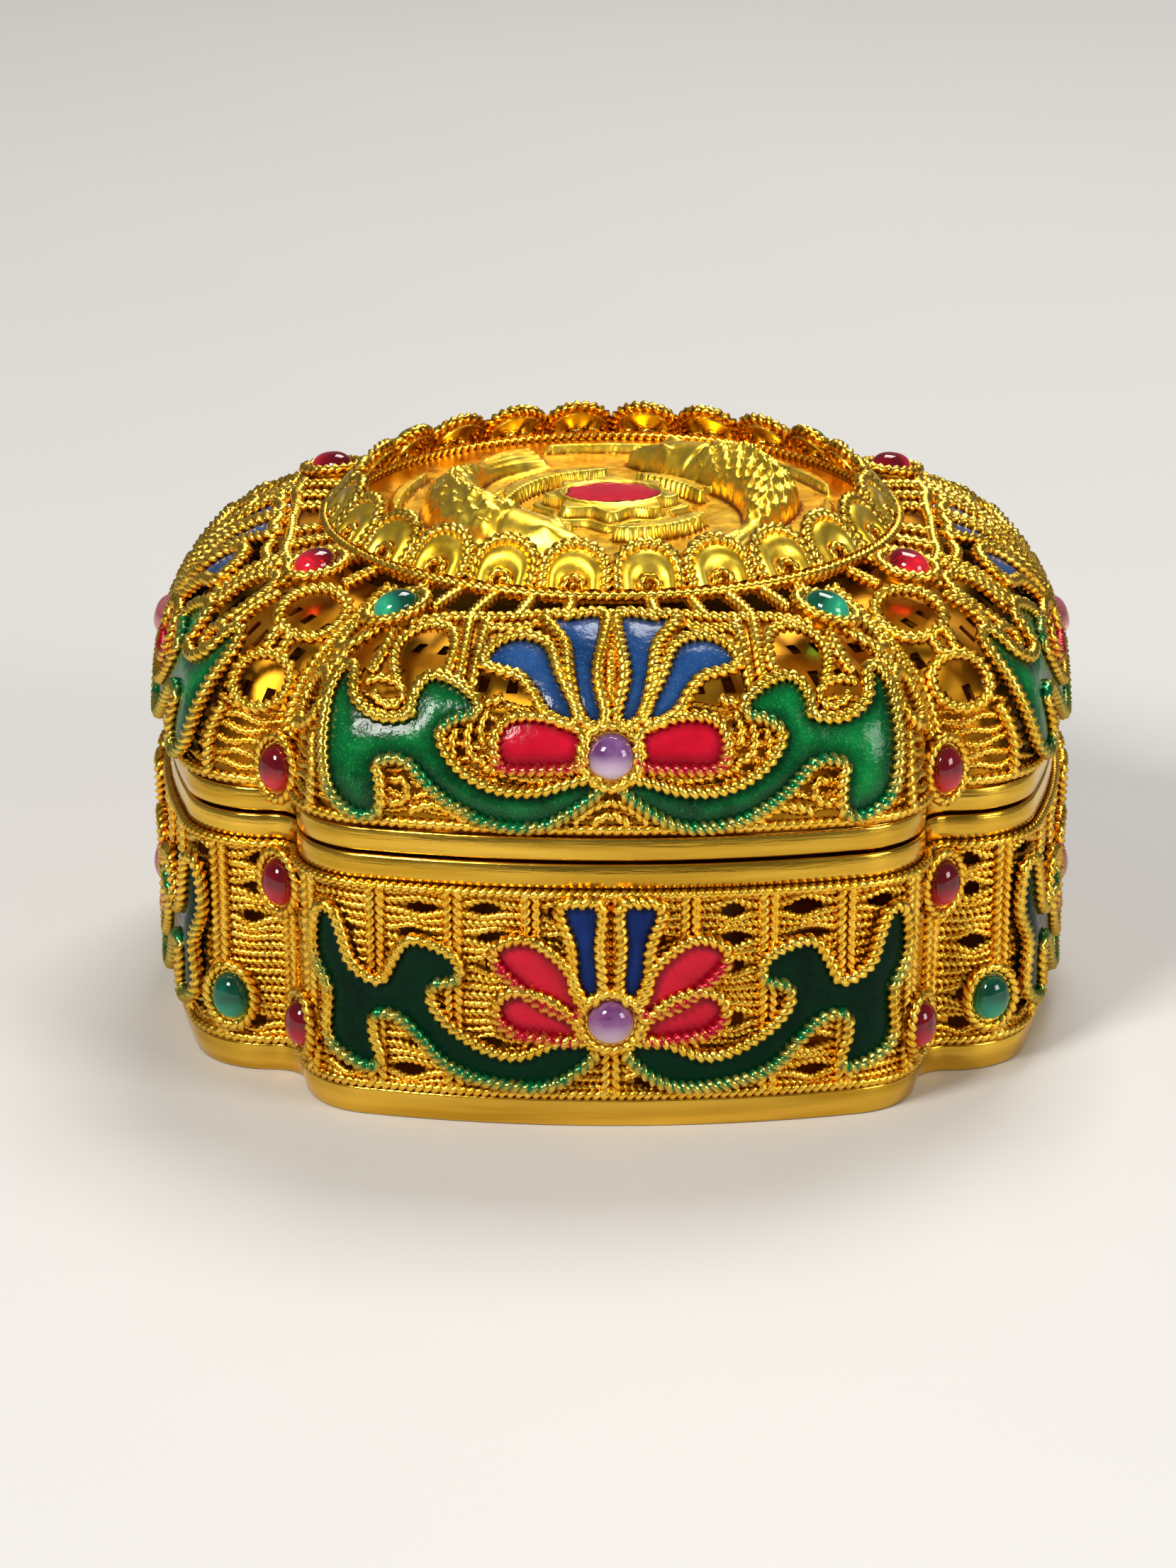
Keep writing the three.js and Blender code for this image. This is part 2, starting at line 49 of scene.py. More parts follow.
# Plan: a flat arc between two corner arcs on each lobe, with a fillet in each valley.
REACH = 30.0
FRONT_RADIUS = 62.0
CORNER_RADIUS = 5.6
CORNER_X = 14.7
VALLEY_RADIUS = 2.0

# Heights of the bands, the wall and the dome.
FOOT_TOP = 2.0
BOX_BAND_BOTTOM = 16.4
SEAM = 18.2
SEAM_GAP = 0.25
LID_BAND_TOP = 19.9
COLLAR_TOP = 20.5
WALL_TAPER = 0.4
DOME_BOTTOM = 20.1
DOME_TOP = 32.0
RING_RADIUS = 18.6
DOME_POWER = 2.4
CREASE_DEPTH = 1.6
CREASE_WIDTH = 4.0
CREASE_SHIFT = 1.5

# Twisted wires: the radius, and the length of one full twist of the two strands.
ROPE_RADIUS = 0.52
ROPE_TWIST = 1.2
STRAND_GROOVE = 0.46
STRAND_ROUND = 2.8
FRAME_RADIUS = 0.42
HOLE_WIRE_RADIUS = 0.3
# Painted light: a wire is paler on its upper side and on its strands, with painted shade in its grooves;
# enamel that has run on to it keeps to the grooves.
TONE_UP = 0.3
TONE_STRAND = 1.7
TONE_LEVEL = 0.62
RUN_FULL = 0.9
RUN_INNER = 0.5
RUN_STRAND = 1.8
RUN_LEVEL = 0.7
RUN_BELOW = 1.4
# Steps of the mesh in one twist, faces in a whole section, and faces kept where the back is hidden.
ROPE_STEPS = 8
SIDES = 8
OUTER_SIDES = 6
# The fine wires between the others, and those along the wall's edges.
FINE = {"radius": 0.33, "twist": 0.9, "steps": 6, "faces": 4, "tone": 0.85}
EDGE = {"radius": 0.4, "twist": 1.1}

# Relief of the enamelled cells above the wall.
WIRE_HEIGHT = 0.78
WIRE_OFFSET = 0.36
ENAMEL_OFFSET = 0.22
ENAMEL_EDGE = 0.6
ENAMEL_CROWN = 0.14
CROWN_EASE = 0.7
ENAMEL_FOOT = -0.1
ENAMEL_REACH = 2.0
ENAMEL_LOW_TONE = 0.55
CELL_STEP = 0.36
CELL_MARGIN = 0.6 * CELL_STEP
LOOP_STEP = 0.12

# Stones.
STONE_RADIUS = 1.5
OVAL_RADIUS = 1.32
OVAL_TALL = 1.22
STONE_HEIGHT = 1.2
STONE_ROUND = 0.8
# The stone's foot, the bezel's profile and the collar of wire: spread in radii, height above the seat.
STONE_FOOT = (0.9, -0.3)
BEZEL = [(0.96, -0.9), (1.16, -0.9), (1.16, 0.18), (1.07, 0.28), (0.99, 0.2)]
COLLAR = (1.3, 0.2)
COLLAR_RADIUS = 0.46

front_centre = FRONT_RADIUS - REACH
front_angle = math.asin(CORNER_X / (FRONT_RADIUS - CORNER_RADIUS))
corner_y = front_centre - (FRONT_RADIUS - CORNER_RADIUS) * math.cos(front_angle)
corner_off = abs(CORNER_X + corner_y) / math.sqrt(2)
fillet_reach = (CORNER_X - corner_y) / math.sqrt(2)
fillet_reach += math.sqrt((CORNER_RADIUS + VALLEY_RADIUS) ** 2 - corner_off ** 2)
fillet_x = fillet_reach / math.sqrt(2)
corner_end = math.atan2(-fillet_x - corner_y, fillet_x - CORNER_X)
FRONT_LENGTH = FRONT_RADIUS * front_angle
CORNER_LENGTH = FRONT_LENGTH + CORNER_RADIUS * (corner_end + math.pi / 2 - front_angle)
HALF_LOBE = CORNER_LENGTH + VALLEY_RADIUS * (corner_end + math.pi / 4)


def plan_at(s):
    """Points and outward directions of the plan at distances s from the front lobe's middle."""
    s = np.asarray(s, float)
    along, side = np.abs(s), np.where(s < 0, -1.0, 1.0)
    a = along / FRONT_RADIUS
    b = front_angle - math.pi / 2 + (along - FRONT_LENGTH) / CORNER_RADIUS
    c = math.pi + corner_end - (along - CORNER_LENGTH) / VALLEY_RADIUS

    def pick(front, corner, valley):
        return np.where(along <= FRONT_LENGTH, front, np.where(along <= CORNER_LENGTH, corner, valley))

    nx = pick(np.sin(a), np.cos(b), -np.cos(c))
    ny = pick(-np.cos(a), np.sin(b), -np.sin(c))
    radius = pick(FRONT_RADIUS, CORNER_RADIUS, -VALLEY_RADIUS)
    x = pick(0.0, CORNER_X, fillet_x) + nx * radius
    y = pick(front_centre, corner_y, -fillet_x) + ny * radius
    return side * x, y, side * nx, ny


def wall(s, t):
    """The box wall, t being the height above the base."""
    s, t = np.broadcast_arrays(np.asarray(s, float), np.asarray(t, float))
    x, y, nx, ny = plan_at(s)
    inset = WALL_TAPER * (1 - t / SEAM)
    return np.stack([x - nx * inset, y - ny * inset, t], -1)


def dome_profile(turn):
    power = 2 / DOME_POWER
    return np.cos(turn) ** power, np.sin(turn) ** power


dome_turns = np.linspace(0, math.pi / 2, 1500)
dome_spread, dome_rise = dome_profile(dome_turns)
dome_lengths = np.concatenate([[0], np.cumsum(np.hypot(
    np.diff(dome_spread) * (REACH - RING_RADIUS), np.diff(dome_rise) * (DOME_TOP - DOME_BOTTOM)))])
DOME_LENGTH = dome_lengths[-1]


def dome(s, t):
    """The lid's dome, t being the length up its profile at a lobe's middle."""
    s, t = np.broadcast_arrays(np.asarray(s, float), np.clip(np.asarray(t, float), 0, DOME_LENGTH))
    spread, rise = dome_profile(np.interp(t, dome_lengths, dome_turns))
    x, y, _, _ = plan_at(s)
    turn = s / HALF_LOBE * math.pi / 4
    near = np.exp(-((HALF_LOBE - np.abs(s)) / CREASE_WIDTH) ** 2)
    sag = CREASE_DEPTH * near * np.sin(math.pi * (t / DOME_LENGTH) ** CREASE_SHIFT)
    return np.stack([x * spread + RING_RADIUS * np.sin(turn) * (1 - spread),
                     y * spread - RING_RADIUS * np.cos(turn) * (1 - spread),
                     DOME_BOTTOM + (DOME_TOP - DOME_BOTTOM) * rise - sag], -1)


def unit(v):
    return v / np.maximum(np.linalg.norm(v, axis=-1, keepdims=True), 1e-9)


def normal_at(surface, s, t, probe=0.02):
    s, t = np.asarray(s, float), np.asarray(t, float)
    along = surface(s + probe, t) - surface(s - probe, t)
    return unit(np.cross(along, surface(s, t + probe) - surface(s, t - probe)))


def raised(surface, s, t, height):
    """Places above a surface, by one height or one each."""
    return surface(s, t) + normal_at(surface, s, t) * np.asarray(height, float)[..., None]


def turned(points, lobe):
    """Points of the front lobe carried to another lobe."""
    c, s = ((1, 0), (0, 1), (-1, 0), (0, -1))[lobe]
    return np.stack([c * points[..., 0] - s * points[..., 1],
                     s * points[..., 0] + c * points[..., 1], points[..., 2]], -1)


def turns_of(count):
    """Even angles round a full turn."""
    return np.linspace(0, 2 * math.pi, count, endpoint=False)


def ring_at(radius, z, count):
    """Points of a level circle about the middle of the part."""
    a = turns_of(count)
    return np.stack([radius * np.cos(a), radius * np.sin(a), 0 * a + z], -1)


def linked(name, data):
    """A new object in the scene."""
    thing = bpy.data.objects.new(name, data)
    bpy.context.scene.collection.objects.link(thing)
    return thing


class Shape:
    """Vertices and faces in millimetres; each vertex has a tone, which carries painted light and shade, and a
    stain for its material.
    """

    def __init__(self):
        self.points, self.faces, self.tones, self.stains, self.count = [], [], [], [], 0

    def add(self, points, faces, tone=1.0, stain=0.0):
        points = np.asarray(points, float).reshape(-1, 3)
        for store, value in ((self.tones, tone), (self.stains, stain)):
            store.append(np.broadcast_to(np.asarray(value, float).reshape(-1), (len(points),)))
        self.points.append(points)
        self.faces.append(np.asarray(faces, int) + self.count)
        self.count += len(points)

    def add_grid(self, points, tone=1.0, stain=0.0, closed=False):
        """A sheet of rows of points; closed joins the last column to the first."""
        rows, columns = points.shape[:2]
        here = np.arange(columns if closed else columns - 1)
        ahead = (here + 1) % columns
        start = np.arange(rows - 1)[:, None] * columns
        after = start + columns
        faces = np.stack([start + here, start + ahead, after + ahead, after + here], -1)
        self.add(points, faces.reshape(-1, 4), tone, stain)

    def join(self, other, lobe):
        """Takes in another shape, carried to a lobe."""
        for faces in other.faces:
            self.faces.append(faces + self.count)
        self.points.extend(turned(p, lobe) for p in other.points)
        self.tones.extend(other.tones)
        self.stains.extend(other.stains)
        self.count += other.count

    def to_object(self, name, material, lobe):
        mesh = bpy.data.meshes.new(name)
        faces = [face for group in self.faces for face in group.tolist()]
        mesh.from_pydata((turned(np.concatenate(self.points), lobe) * MM).tolist(), [], faces)
        for key, store in (("tone", self.tones), ("stain", self.stains)):
            layer = mesh.attributes.new(key, "FLOAT", "POINT")
            layer.data.foreach_set("value", np.concatenate(store).astype(np.float32))
        mesh.polygons.foreach_set("use_smooth", [True] * len(mesh.polygons))
        mesh.materials.append(material)
        mesh.update()
        return linked(name, mesh)


def place(shape, name, material, nodes, lobe=0):
    """Makes a piece of the object that rides on its only body and stands for its CAD nodes."""
    piece = shape.to_object(name, material, lobe)
    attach(piece, "root")
    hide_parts(*nodes)


def spline(points, closed=False, per_span=14):
    """A smooth line through points."""
    p = np.asarray(points, float)
    count = len(p)
    u = np.linspace(0, 1, per_span, endpoint=False)[:, None]
    line = []
    for i in range(count if closed else count - 1):
        steps = [i + k for k in (-1, 0, 1, 2)]
        a, b, c, d = (p[k % count] if closed else p[min(max(k, 0), count - 1)] for k in steps)
        line.append(0.5 * (2 * b + (c - a) * u + (2 * a - 5 * b + 4 * c - d) * u ** 2
                           + (3 * b - a - 3 * c + d) * u ** 3))
    if not closed:
        line.append(p[-1:])
    return np.concatenate(line)


def spaced(points, step, closed=False):
    """A line's points set at even distances of about one step, and the line's length."""
    p = np.concatenate([points, points[:1]]) if closed else points
    run = np.concatenate([[0], np.cumsum(np.linalg.norm(np.diff(p[:, :3], axis=0), axis=1))])
    count = max(int(round(run[-1] / step)), 4)
    at = np.linspace(0, run[-1], count + 1)
    even = np.stack([np.interp(at, run, p[:, k]) for k in range(p.shape[1])], -1)
    return (even[:-1] if closed else even), run[-1]


def rope(shape, points, ups, radius=ROPE_RADIUS, twist=ROPE_TWIST, steps=ROPE_STEPS, faces=OUTER_SIDES,
         closed=False, hand=1, tone=1.0, stain=None, inner=1):
    """Two strands twisted together along a line, with the up direction of what it lies on.

    stain is how far enamel has run on to the wire at each point, most on its inner side.
    """
    stain = np.zeros(len(points)) if stain is None else stain
    given = np.concatenate([points, ups, stain[:, None]], -1)
    line, length = spaced(given, twist / steps, closed)
    centre, up, stain = line[:, :3], line[:, 3:6], line[:, 6]
    ahead = np.roll(centre, -1, 0) - np.roll(centre, 1, 0)
    if not closed:
        ahead[0], ahead[-1] = centre[1] - centre[0], centre[-1] - centre[-2]
    ahead = unit(ahead)
    across = unit(np.cross(ahead, up))
    up = np.cross(across, ahead)
    half_turns = max(round(2 * length / twist), 1) if closed else 2 * length / twist
    share = np.arange(len(centre)) / (len(centre) if closed else len(centre) - 1)
    turn = hand * math.pi * half_turns * share
    whole = faces == SIDES
    angle = math.pi / 2 + (faces / 2 - np.arange(faces if whole else faces + 1)) / SIDES * 2 * math.pi
    local = radius * (1 - STRAND_GROOVE * np.abs(np.sin(angle - turn[:, None])) ** STRAND_ROUND)
    ring = (centre[:, None] + (np.cos(angle) * local)[..., None] * across[:, None]
            + (np.sin(angle) * local)[..., None] * up[:, None])
    bulge = local / radius
    # Painted light and shade: paler on the wire's upper side and its strands, darker in the grooves.
    tones = np.clip(TONE_UP * np.sin(angle) + TONE_STRAND * (bulge - TONE_LEVEL), 0, 1) * tone
    inward = RUN_FULL + RUN_INNER * inner * np.cos(angle)
    wet = stain[:, None] * np.clip(inward - RUN_STRAND * (bulge - RUN_LEVEL), 0, 1)
    if closed:
        ring, tones, wet = (np.concatenate([v, v[:1]]) for v in (ring, tones, wet))
    first = shape.count
    shape.add_grid(ring, tones, wet, closed=whole)
    if not closed:
        fan = np.array([[0, k + 1, k] for k in range(1, len(angle) - 1)])
        shape.faces.append(first + fan)
        shape.faces.append(shape.count - len(angle) + fan[:, ::-1])


def rope_on(shape, surface, places, height, mirror=(1,), closed=False, per_span=14, hand=1, **kinds):
    """A twisted wire lying on a surface along a smooth line of places."""
    line = spline(places, closed, per_span)
    for side in mirror:
        s, t = side * line[:, 0], line[:, 1]
        points, ups = raised(surface, s, t, height), normal_at(surface, s, t)
        rope(shape, points, ups, closed=closed, hand=side * hand, **kinds)


def feed(tree, node, inputs):
    """Sets each input of a node to a number or a colour, or links a value to it."""
    for key, value in inputs.items():
        socket = node.inputs[key]
        if isinstance(value, (tuple, float)):
            socket.default_value = (*value, 1) if socket.type == "RGBA" else value
        else:
            tree.links.new(value, socket)


def node_of(tree, kind, output, inputs, **settings):
    """An output of a new shader node that has these inputs and settings."""
    node = tree.nodes.new("ShaderNode" + kind)
    for key, value in settings.items():
        setattr(node, key, value)
    feed(tree, node, inputs)
    return node.outputs[output]


def nodes_of(name):
    material = bpy.data.materials.new(name)
    material.use_nodes = True
    tree = material.node_tree
    return material, tree, tree.nodes["Principled BSDF"], node_of(tree, "TexCoord", "Object", {})


def noise(tree, where, scale, detail=4.0, stretch=None):
    if stretch:
        where = node_of(tree, "Mapping", "Vector", {"Vector": where, "Scale": stretch})
    inputs = {"Vector": where, "Scale": scale, "Detail": detail, "Roughness": 0.55}
    return node_of(tree, "TexNoise", "Fac", inputs)


def ramp(tree, value, *stops):
    node = tree.nodes.new("ShaderNodeValToRGB")
    while len(node.color_ramp.elements) < len(stops):
        node.color_ramp.elements.new(0.5)
    for element, (at, colour) in zip(node.color_ramp.elements, stops):
        element.position = at
        element.color = (*colour, 1)
    tree.links.new(value, node.inputs["Fac"])
    return node.outputs["Color"]


def spread(tree, value, low, high, from_low=0.3, from_high=0.7):
    inputs = {"Value": value, "From Min": from_low, "From Max": from_high, "To Min": low, "To Max": high}
    return node_of(tree, "MapRange", "Result", inputs)


def mixed(tree, share, first, second, how="MIX"):
    return node_of(tree, "Mix", 2, {0: share, 6: first, 7: second}, data_type="RGBA", blend_type=how)


def bumped(tree, height, strength, distance=0.0001):
    inputs = {"Height": height, "Strength": strength, "Distance": distance}
    return node_of(tree, "Bump", "Normal", inputs)


def kept(tree, key):
    """A value kept on the vertices."""
    return node_of(tree, "Attribute", "Fac", {}, attribute_name=key)


WHITE = (1.0, 1.0, 1.0)
PAINTED_SHADE_TINT = (1.0, 0.88, 0.7)
STONE_IOR = 1.5
STONE_CLEAR = 0.5


def gold(name, deep, mid, pale, rough, grain, bump, stretch=None, stain=None):
    """Gilt metal: warmer and darker where its tone is low, a painted shade in its hollows; paler where it is
    rubbed, enamel run over it.
    """
    material, tree, shader, where = nodes_of(name)
    body = ramp(tree, noise(tree, where, grain, 5.0, stretch), (0.34, mid), (0.66, pale))
    # Painted shade: a low tone darkens and warms the gold.
    painted_shade = ramp(tree, kept(tree, "tone"), (0.08, deep), (0.45, PAINTED_SHADE_TINT), (0.8, WHITE))
    colour, metal = mixed(tree, 1.0, body, painted_shade, "MULTIPLY"), 1.0
    if stain:
        patch = spread(tree, noise(tree, where, 900.0, 3.0), 0.55, 1.5)
        wet = node_of(tree, "Math", "Value", {0: kept(tree, "stain"), 1: patch}, operation="MULTIPLY")
        colour, metal = mixed(tree, wet, colour, stain), spread(tree, wet, 1.0, 0.7, 0.1, 0.9)
    feed(tree, shader, {
        "Base Color": colour, "Metallic": metal,
        "Roughness": spread(tree, noise(tree, where, grain * 2.3, 3.0, stretch), *rough),
        "Normal": bumped(tree, noise(tree, where, grain * 4, 6.0, stretch), bump)})
    return material


def enamel(name, dark, mid, light, fleck, shade, gloss=0.2):
    """Glassy enamel, darker within a distance of the wires, a painted shade, with fine flecks of the metal
    under it.
    """
    material, tree, shader, where = nodes_of(name)
    body = ramp(tree, noise(tree, where, 300.0, 5.0), (0.34, mid), (0.66, light))
    edge = spread(tree, kept(tree, "tone"), 0.0, 1.0, 0.0, shade / ENAMEL_REACH)
    flecks = ramp(tree, noise(tree, where, 7000.0, 2.0), (0.56, (0, 0, 0)), (0.76, fleck))
    feed(tree, shader, {
        "Base Color": mixed(tree, edge, dark, mixed(tree, 1.0, body, flecks, "ADD")),
        "Roughness": spread(tree, noise(tree, where, 1500.0), 0.1, 0.25), "Specular IOR Level": gloss,
        "Normal": bumped(tree, noise(tree, where, 1100.0, 3.0), 0.4, 0.0002)})
    return material


def gemstone(name, dark, light, glow):
    """A polished translucent stone with faint clouds inside, where light gathers at the lower edge."""
    material, tree, shader, where = nodes_of(name)
    clouds = ramp(tree, noise(tree, where, 650.0, 3.0), (0.35, dark), (0.68, light))
    lit = spread(tree, kept(tree, "tone"), 0.0, 1.0, 0.45, 0.85)
    feed(tree, shader, {
        "Base Color": mixed(tree, lit, clouds, glow),
        "Roughness": spread(tree, noise(tree, where, 2500.0), 0.02, 0.08),
        "Transmission Weight": STONE_CLEAR, "IOR": STONE_IOR})
    return material


# Colours of a gold or a stone go from dark to light.
WIRE = ((0.3, 0.1, 0.01), (0.92, 0.52, 0.03), (1.0, 0.7, 0.1))
RUN_GREEN, PETAL_RED = (0.003, 0.16, 0.045), (0.46, 0.006, 0.02)
WIRE_LOOK = {"grain": 700.0, "bump": 0.15}
BAND_GOLD = gold("band_gold", (0.5, 0.26, 0.06), (0.56, 0.31, 0.022), (0.86, 0.53, 0.065),
                 rough=(0.1, 0.26), grain=60.0, bump=0.3, stretch=(1, 1, 16))
WIRE_GOLD = gold("wire_gold", *WIRE, rough=(0.2, 0.36), **WIRE_LOOK)
GREEN_WIRE = gold("green_wire", *WIRE, rough=(0.16, 0.3), stain=RUN_GREEN, **WIRE_LOOK)
RED_WIRE = gold("red_wire", *WIRE, rough=(0.16, 0.3), stain=PETAL_RED, **WIRE_LOOK)
CAST_GOLD = gold("cast_gold", (0.5, 0.22, 0.02), (0.95, 0.57, 0.025), (1.0, 0.72, 0.08),
                 rough=(0.26, 0.42), grain=420.0, bump=0.2)
# Painted shade: the liner's gold is darker than the wires' because it lies behind them.
LINER_SHADE_GOLD = gold("liner_gold_painted_shade", (0.4, 0.16, 0.03), (0.6, 0.27, 0.012), (0.84, 0.43, 0.025),
                  rough=(0.38, 0.55), grain=160.0, bump=0.3)
GREEN = enamel("green_enamel", (0.0, 0.009, 0.003), (0.0, 0.06, 0.014), (0.003, 0.28, 0.055),
               fleck=(0.04, 0.3, 0.08), shade=1.7)
# Its edge colour is brighter than its body: a painted glint along the wires.
DEEP_GREEN = enamel("deep_green_enamel", (0.0, 0.02, 0.007), (0.0, 0.006, 0.002), (0.0, 0.016, 0.006),
                    fleck=(0.0, 0.014, 0.005), shade=0.8, gloss=0.08)
BLUE = enamel("blue_enamel", (0.001, 0.004, 0.025), (0.005, 0.026, 0.1), (0.016, 0.06, 0.19),
              fleck=(0.02, 0.07, 0.1), shade=0.5)
DEEP_BLUE = enamel("deep_blue_enamel", (0.001, 0.002, 0.02), (0.002, 0.009, 0.07), (0.005, 0.022, 0.13),
                   fleck=(0.0, 0.01, 0.02), shade=0.5, gloss=0.1)
RED = enamel("red_enamel", (0.12, 0.0, 0.005), (0.38, 0.003, 0.014), (0.5, 0.006, 0.026),
             fleck=(0.05, 0.0, 0.004), shade=0.7)
STONES = {name: gemstone(name, *shades) for name, *shades in (
    ("ruby", (0.11, 0.0, 0.006), (0.28, 0.002, 0.014), (1.0, 0.02, 0.05)),
    ("emerald", (0.001, 0.06, 0.034), (0.004, 0.18, 0.1), (0.04, 0.6, 0.36)),
    ("amethyst", (0.17, 0.05, 0.23), (0.38, 0.17, 0.46), (1.0, 0.8, 1.0)),
    ("rose_stone", (0.42, 0.09, 0.11), (0.64, 0.22, 0.24), (0.95, 0.55, 0.52)))}


def plan_loop(corner=20, front=8):
    """Distances along a whole lobe, closer together at its corners."""
    half = np.concatenate([np.linspace(0, FRONT_LENGTH, front, endpoint=False),
                           np.linspace(FRONT_LENGTH, HALF_LOBE, corner, endpoint=False)])
    return np.concatenate([-half[1:][::-1], half, [HALF_LOBE]])


def plan_ring(offset, z):
    """Points all round the plan, moved outwards by an offset."""
    x, y, nx, ny = plan_at(plan_loop())
    row = np.stack([x + nx * offset, y + ny * offset, 0 * x + z], -1)
    return np.concatenate([turned(row, lobe) for lobe in range(4)])


def rounded(section, bevel=0.16, steps=3):
    """A closed section with its corners eased."""
    p = np.asarray(section, float)
    out = []
    for i, corner in enumerate(p):
        ways = (p[i - 1] - corner, p[(i + 1) % len(p)] - corner)
        a, b = (corner + unit(way) * min(bevel, np.linalg.norm(way) / 2) for way in ways)
        for u in np.linspace(0, 1, steps):
            out.append((1 - u) ** 2 * a + 2 * u * (1 - u) * corner + u ** 2 * b)
    return out + out[:1]


def band(section):
    """A section of (offset, height) pairs, its corners eased, carried round the plan."""
    shape = Shape()
    shape.add_grid(np.stack([plan_ring(*corner) for corner in rounded(section)]), closed=True)
    return shape


BAND_BACK = -1.3
BAND_SWELL = 0.1
COLLAR_FACE = -1.6
COLLAR_BACK = -2.3
FLOOR_BOTTOM = 0.12
FLOOR_TOP = 0.9
lower, upper = SEAM - SEAM_GAP / 2, SEAM + SEAM_GAP / 2
lid_section = [(BAND_BACK, upper), (0, upper), (BAND_SWELL, upper + 0.75), (0, LID_BAND_TOP),
               (BAND_BACK, LID_BAND_TOP)]
box_section = [(COLLAR_BACK, BOX_BAND_BOTTOM), (0, BOX_BAND_BOTTOM), (BAND_SWELL, lower - 0.8), (0, lower),
               (COLLAR_FACE, lower), (COLLAR_FACE, COLLAR_TOP), (COLLAR_BACK, COLLAR_TOP)]
foot_section = [(BAND_BACK, FLOOR_TOP), (-1.6, 0.1), (-WALL_TAPER, 0.0),
                (-WALL_TAPER / 2 + BAND_SWELL, FOOT_TOP / 2), (0, FOOT_TOP), (BAND_BACK, FOOT_TOP)]
place(band(lid_section), "lid_rim_band", BAND_GOLD, ["lid_rim"])
place(band(box_section), "box_rim_band", BAND_GOLD, ["box_rim"])
tray = band(foot_section)
edge = plan_ring(0.0, 0.0)
spreads = np.linspace(0.01, 0.95, 6)
for height, row in ((FLOOR_BOTTOM, spreads), (FLOOR_TOP, spreads[::-1])):
    tray.add_grid(edge[None] * row[:, None, None] + (0, 0, height), closed=True)
place(tray, "base_tray", BAND_GOLD, ["base"])


# The left half of each relief; the right half mirrors it.
LID_LEAF = [(-0.9, 3.4), (-2.8, 1.9), (-4.7, 1.05), (-7.6, 1.2), (-10.4, 2.55), (-12.2, 4.1), (-13.2, 4.75),
            (-14.4, 4.8), (-15.4, 4.2), (-15.1, 2.9), (-15.1, 1.4), (-16.3, 1.3), (-17.6, 2.35), (-18.3, 4.5),
            (-18.8, 6.8), (-19.1, 8.3), (-18.9, 9.5), (-18.3, 8.7), (-17.7, 7.6), (-16.1, 6.65), (-14.5, 6.5),
            (-13.1, 7.0), (-13.2, 8.1), (-12.7, 9.2), (-10.9, 8.9), (-9.2, 7.8), (-10.5, 7.4), (-11.5, 6.4),
            (-11.1, 5.1), (-9.5, 3.6), (-7.2, 2.65), (-4.6, 2.6), (-2.4, 3.2)]
BOX_LEAF = [(-1.3, 5.5), (-3.8, 3.5), (-7.2, 3.5), (-10.2, 4.45), (-12.0, 6.3), (-13.3, 7.5), (-14.7, 7.9),
            (-15.6, 7.3), (-15.6, 5.8), (-15.2, 4.2), (-16.6, 4.4), (-18.0, 5.6), (-17.9, 8.7), (-18.9, 11.1),
            (-18.7, 13.7), (-18.1, 14.1), (-17.6, 12.7), (-17.0, 10.7), (-15.6, 9.6), (-14.4, 9.65),
            (-13.6, 11.2), (-12.8, 12.4), (-11.4, 12.2), (-10.1, 11.4), (-10.1, 10.4), (-11.5, 10.0),
            (-11.8, 8.5), (-10.6, 6.8), (-8.2, 5.25), (-5.8, 4.8), (-3.0, 5.9)]
LID_CELLS = [
    ("green", LID_LEAF),
    ("red", [(-7.1, 5.1), (-7.2, 6.1), (-6.6, 6.9), (-5.2, 7.1), (-3.8, 6.9), (-2.3, 6.4), (-2.0, 5.6),
             (-2.3, 4.8), (-4.7, 4.6), (-6.6, 4.6)]),
    ("blue", [(-5.5, 14.7), (-3.8, 14.5), (-2.2, 14.9), (-0.8, 14.8), (-1.0, 12.6), (-1.35, 10.1),
              (-0.7, 7.4), (-1.8, 7.7), (-2.6, 10.0), (-3.2, 12.3), (-4.5, 13.8)]),
    ("blue", [(-9.1, 10.9), (-8.5, 12.0), (-6.9, 12.5), (-5.1, 11.9), (-4.0, 10.0), (-2.5, 7.4), (-4.1, 7.9),
              (-5.2, 9.2), (-6.4, 10.2), (-7.9, 10.5)]),
]
BOX_CELLS = [
    ("green", BOX_LEAF),
    ("blue", [(-2.9, 15.2), (-1.9, 15.4), (-0.9, 15.3), (-1.05, 12.8), (-0.9, 9.7), (-1.9, 9.6),
              (-2.15, 12.7)]),
    ("red", [(-7.1, 11.8), (-6.6, 12.6), (-5.2, 12.8), (-3.4, 11.5), (-2.6, 10.1), (-2.1, 8.4), (-3.8, 8.8),
             (-5.5, 10.0)]),
    ("red", [(-7.0, 8.0), (-6.6, 9.0), (-5.4, 9.2), (-3.5, 8.4), (-2.2, 6.6), (-4.2, 6.7), (-6.0, 7.0)]),
]


def inside(points, loop):
    """Whether points lie in a closed loop, and their distance from it."""
    a, b = loop, np.roll(loop, -1, 0)
    x, y = points[:, :1], points[:, 1:]
    crossing = (a[:, 1] > y) != (b[:, 1] > y)
    rise = np.where(np.abs(b[:, 1] - a[:, 1]) < 1e-9, 1e-9, b[:, 1] - a[:, 1])
    hits = crossing & (x < (b[:, 0] - a[:, 0]) * (y - a[:, 1]) / rise + a[:, 0])
    edge, to = b - a, points[:, None] - a[None]
    share = np.clip((to * edge).sum(-1) / np.maximum((edge ** 2).sum(-1), 1e-9), 0, 1)
    distance = np.linalg.norm(to - share[..., None] * edge, axis=-1).min(1)
    return hits.sum(1) % 2 == 1, distance


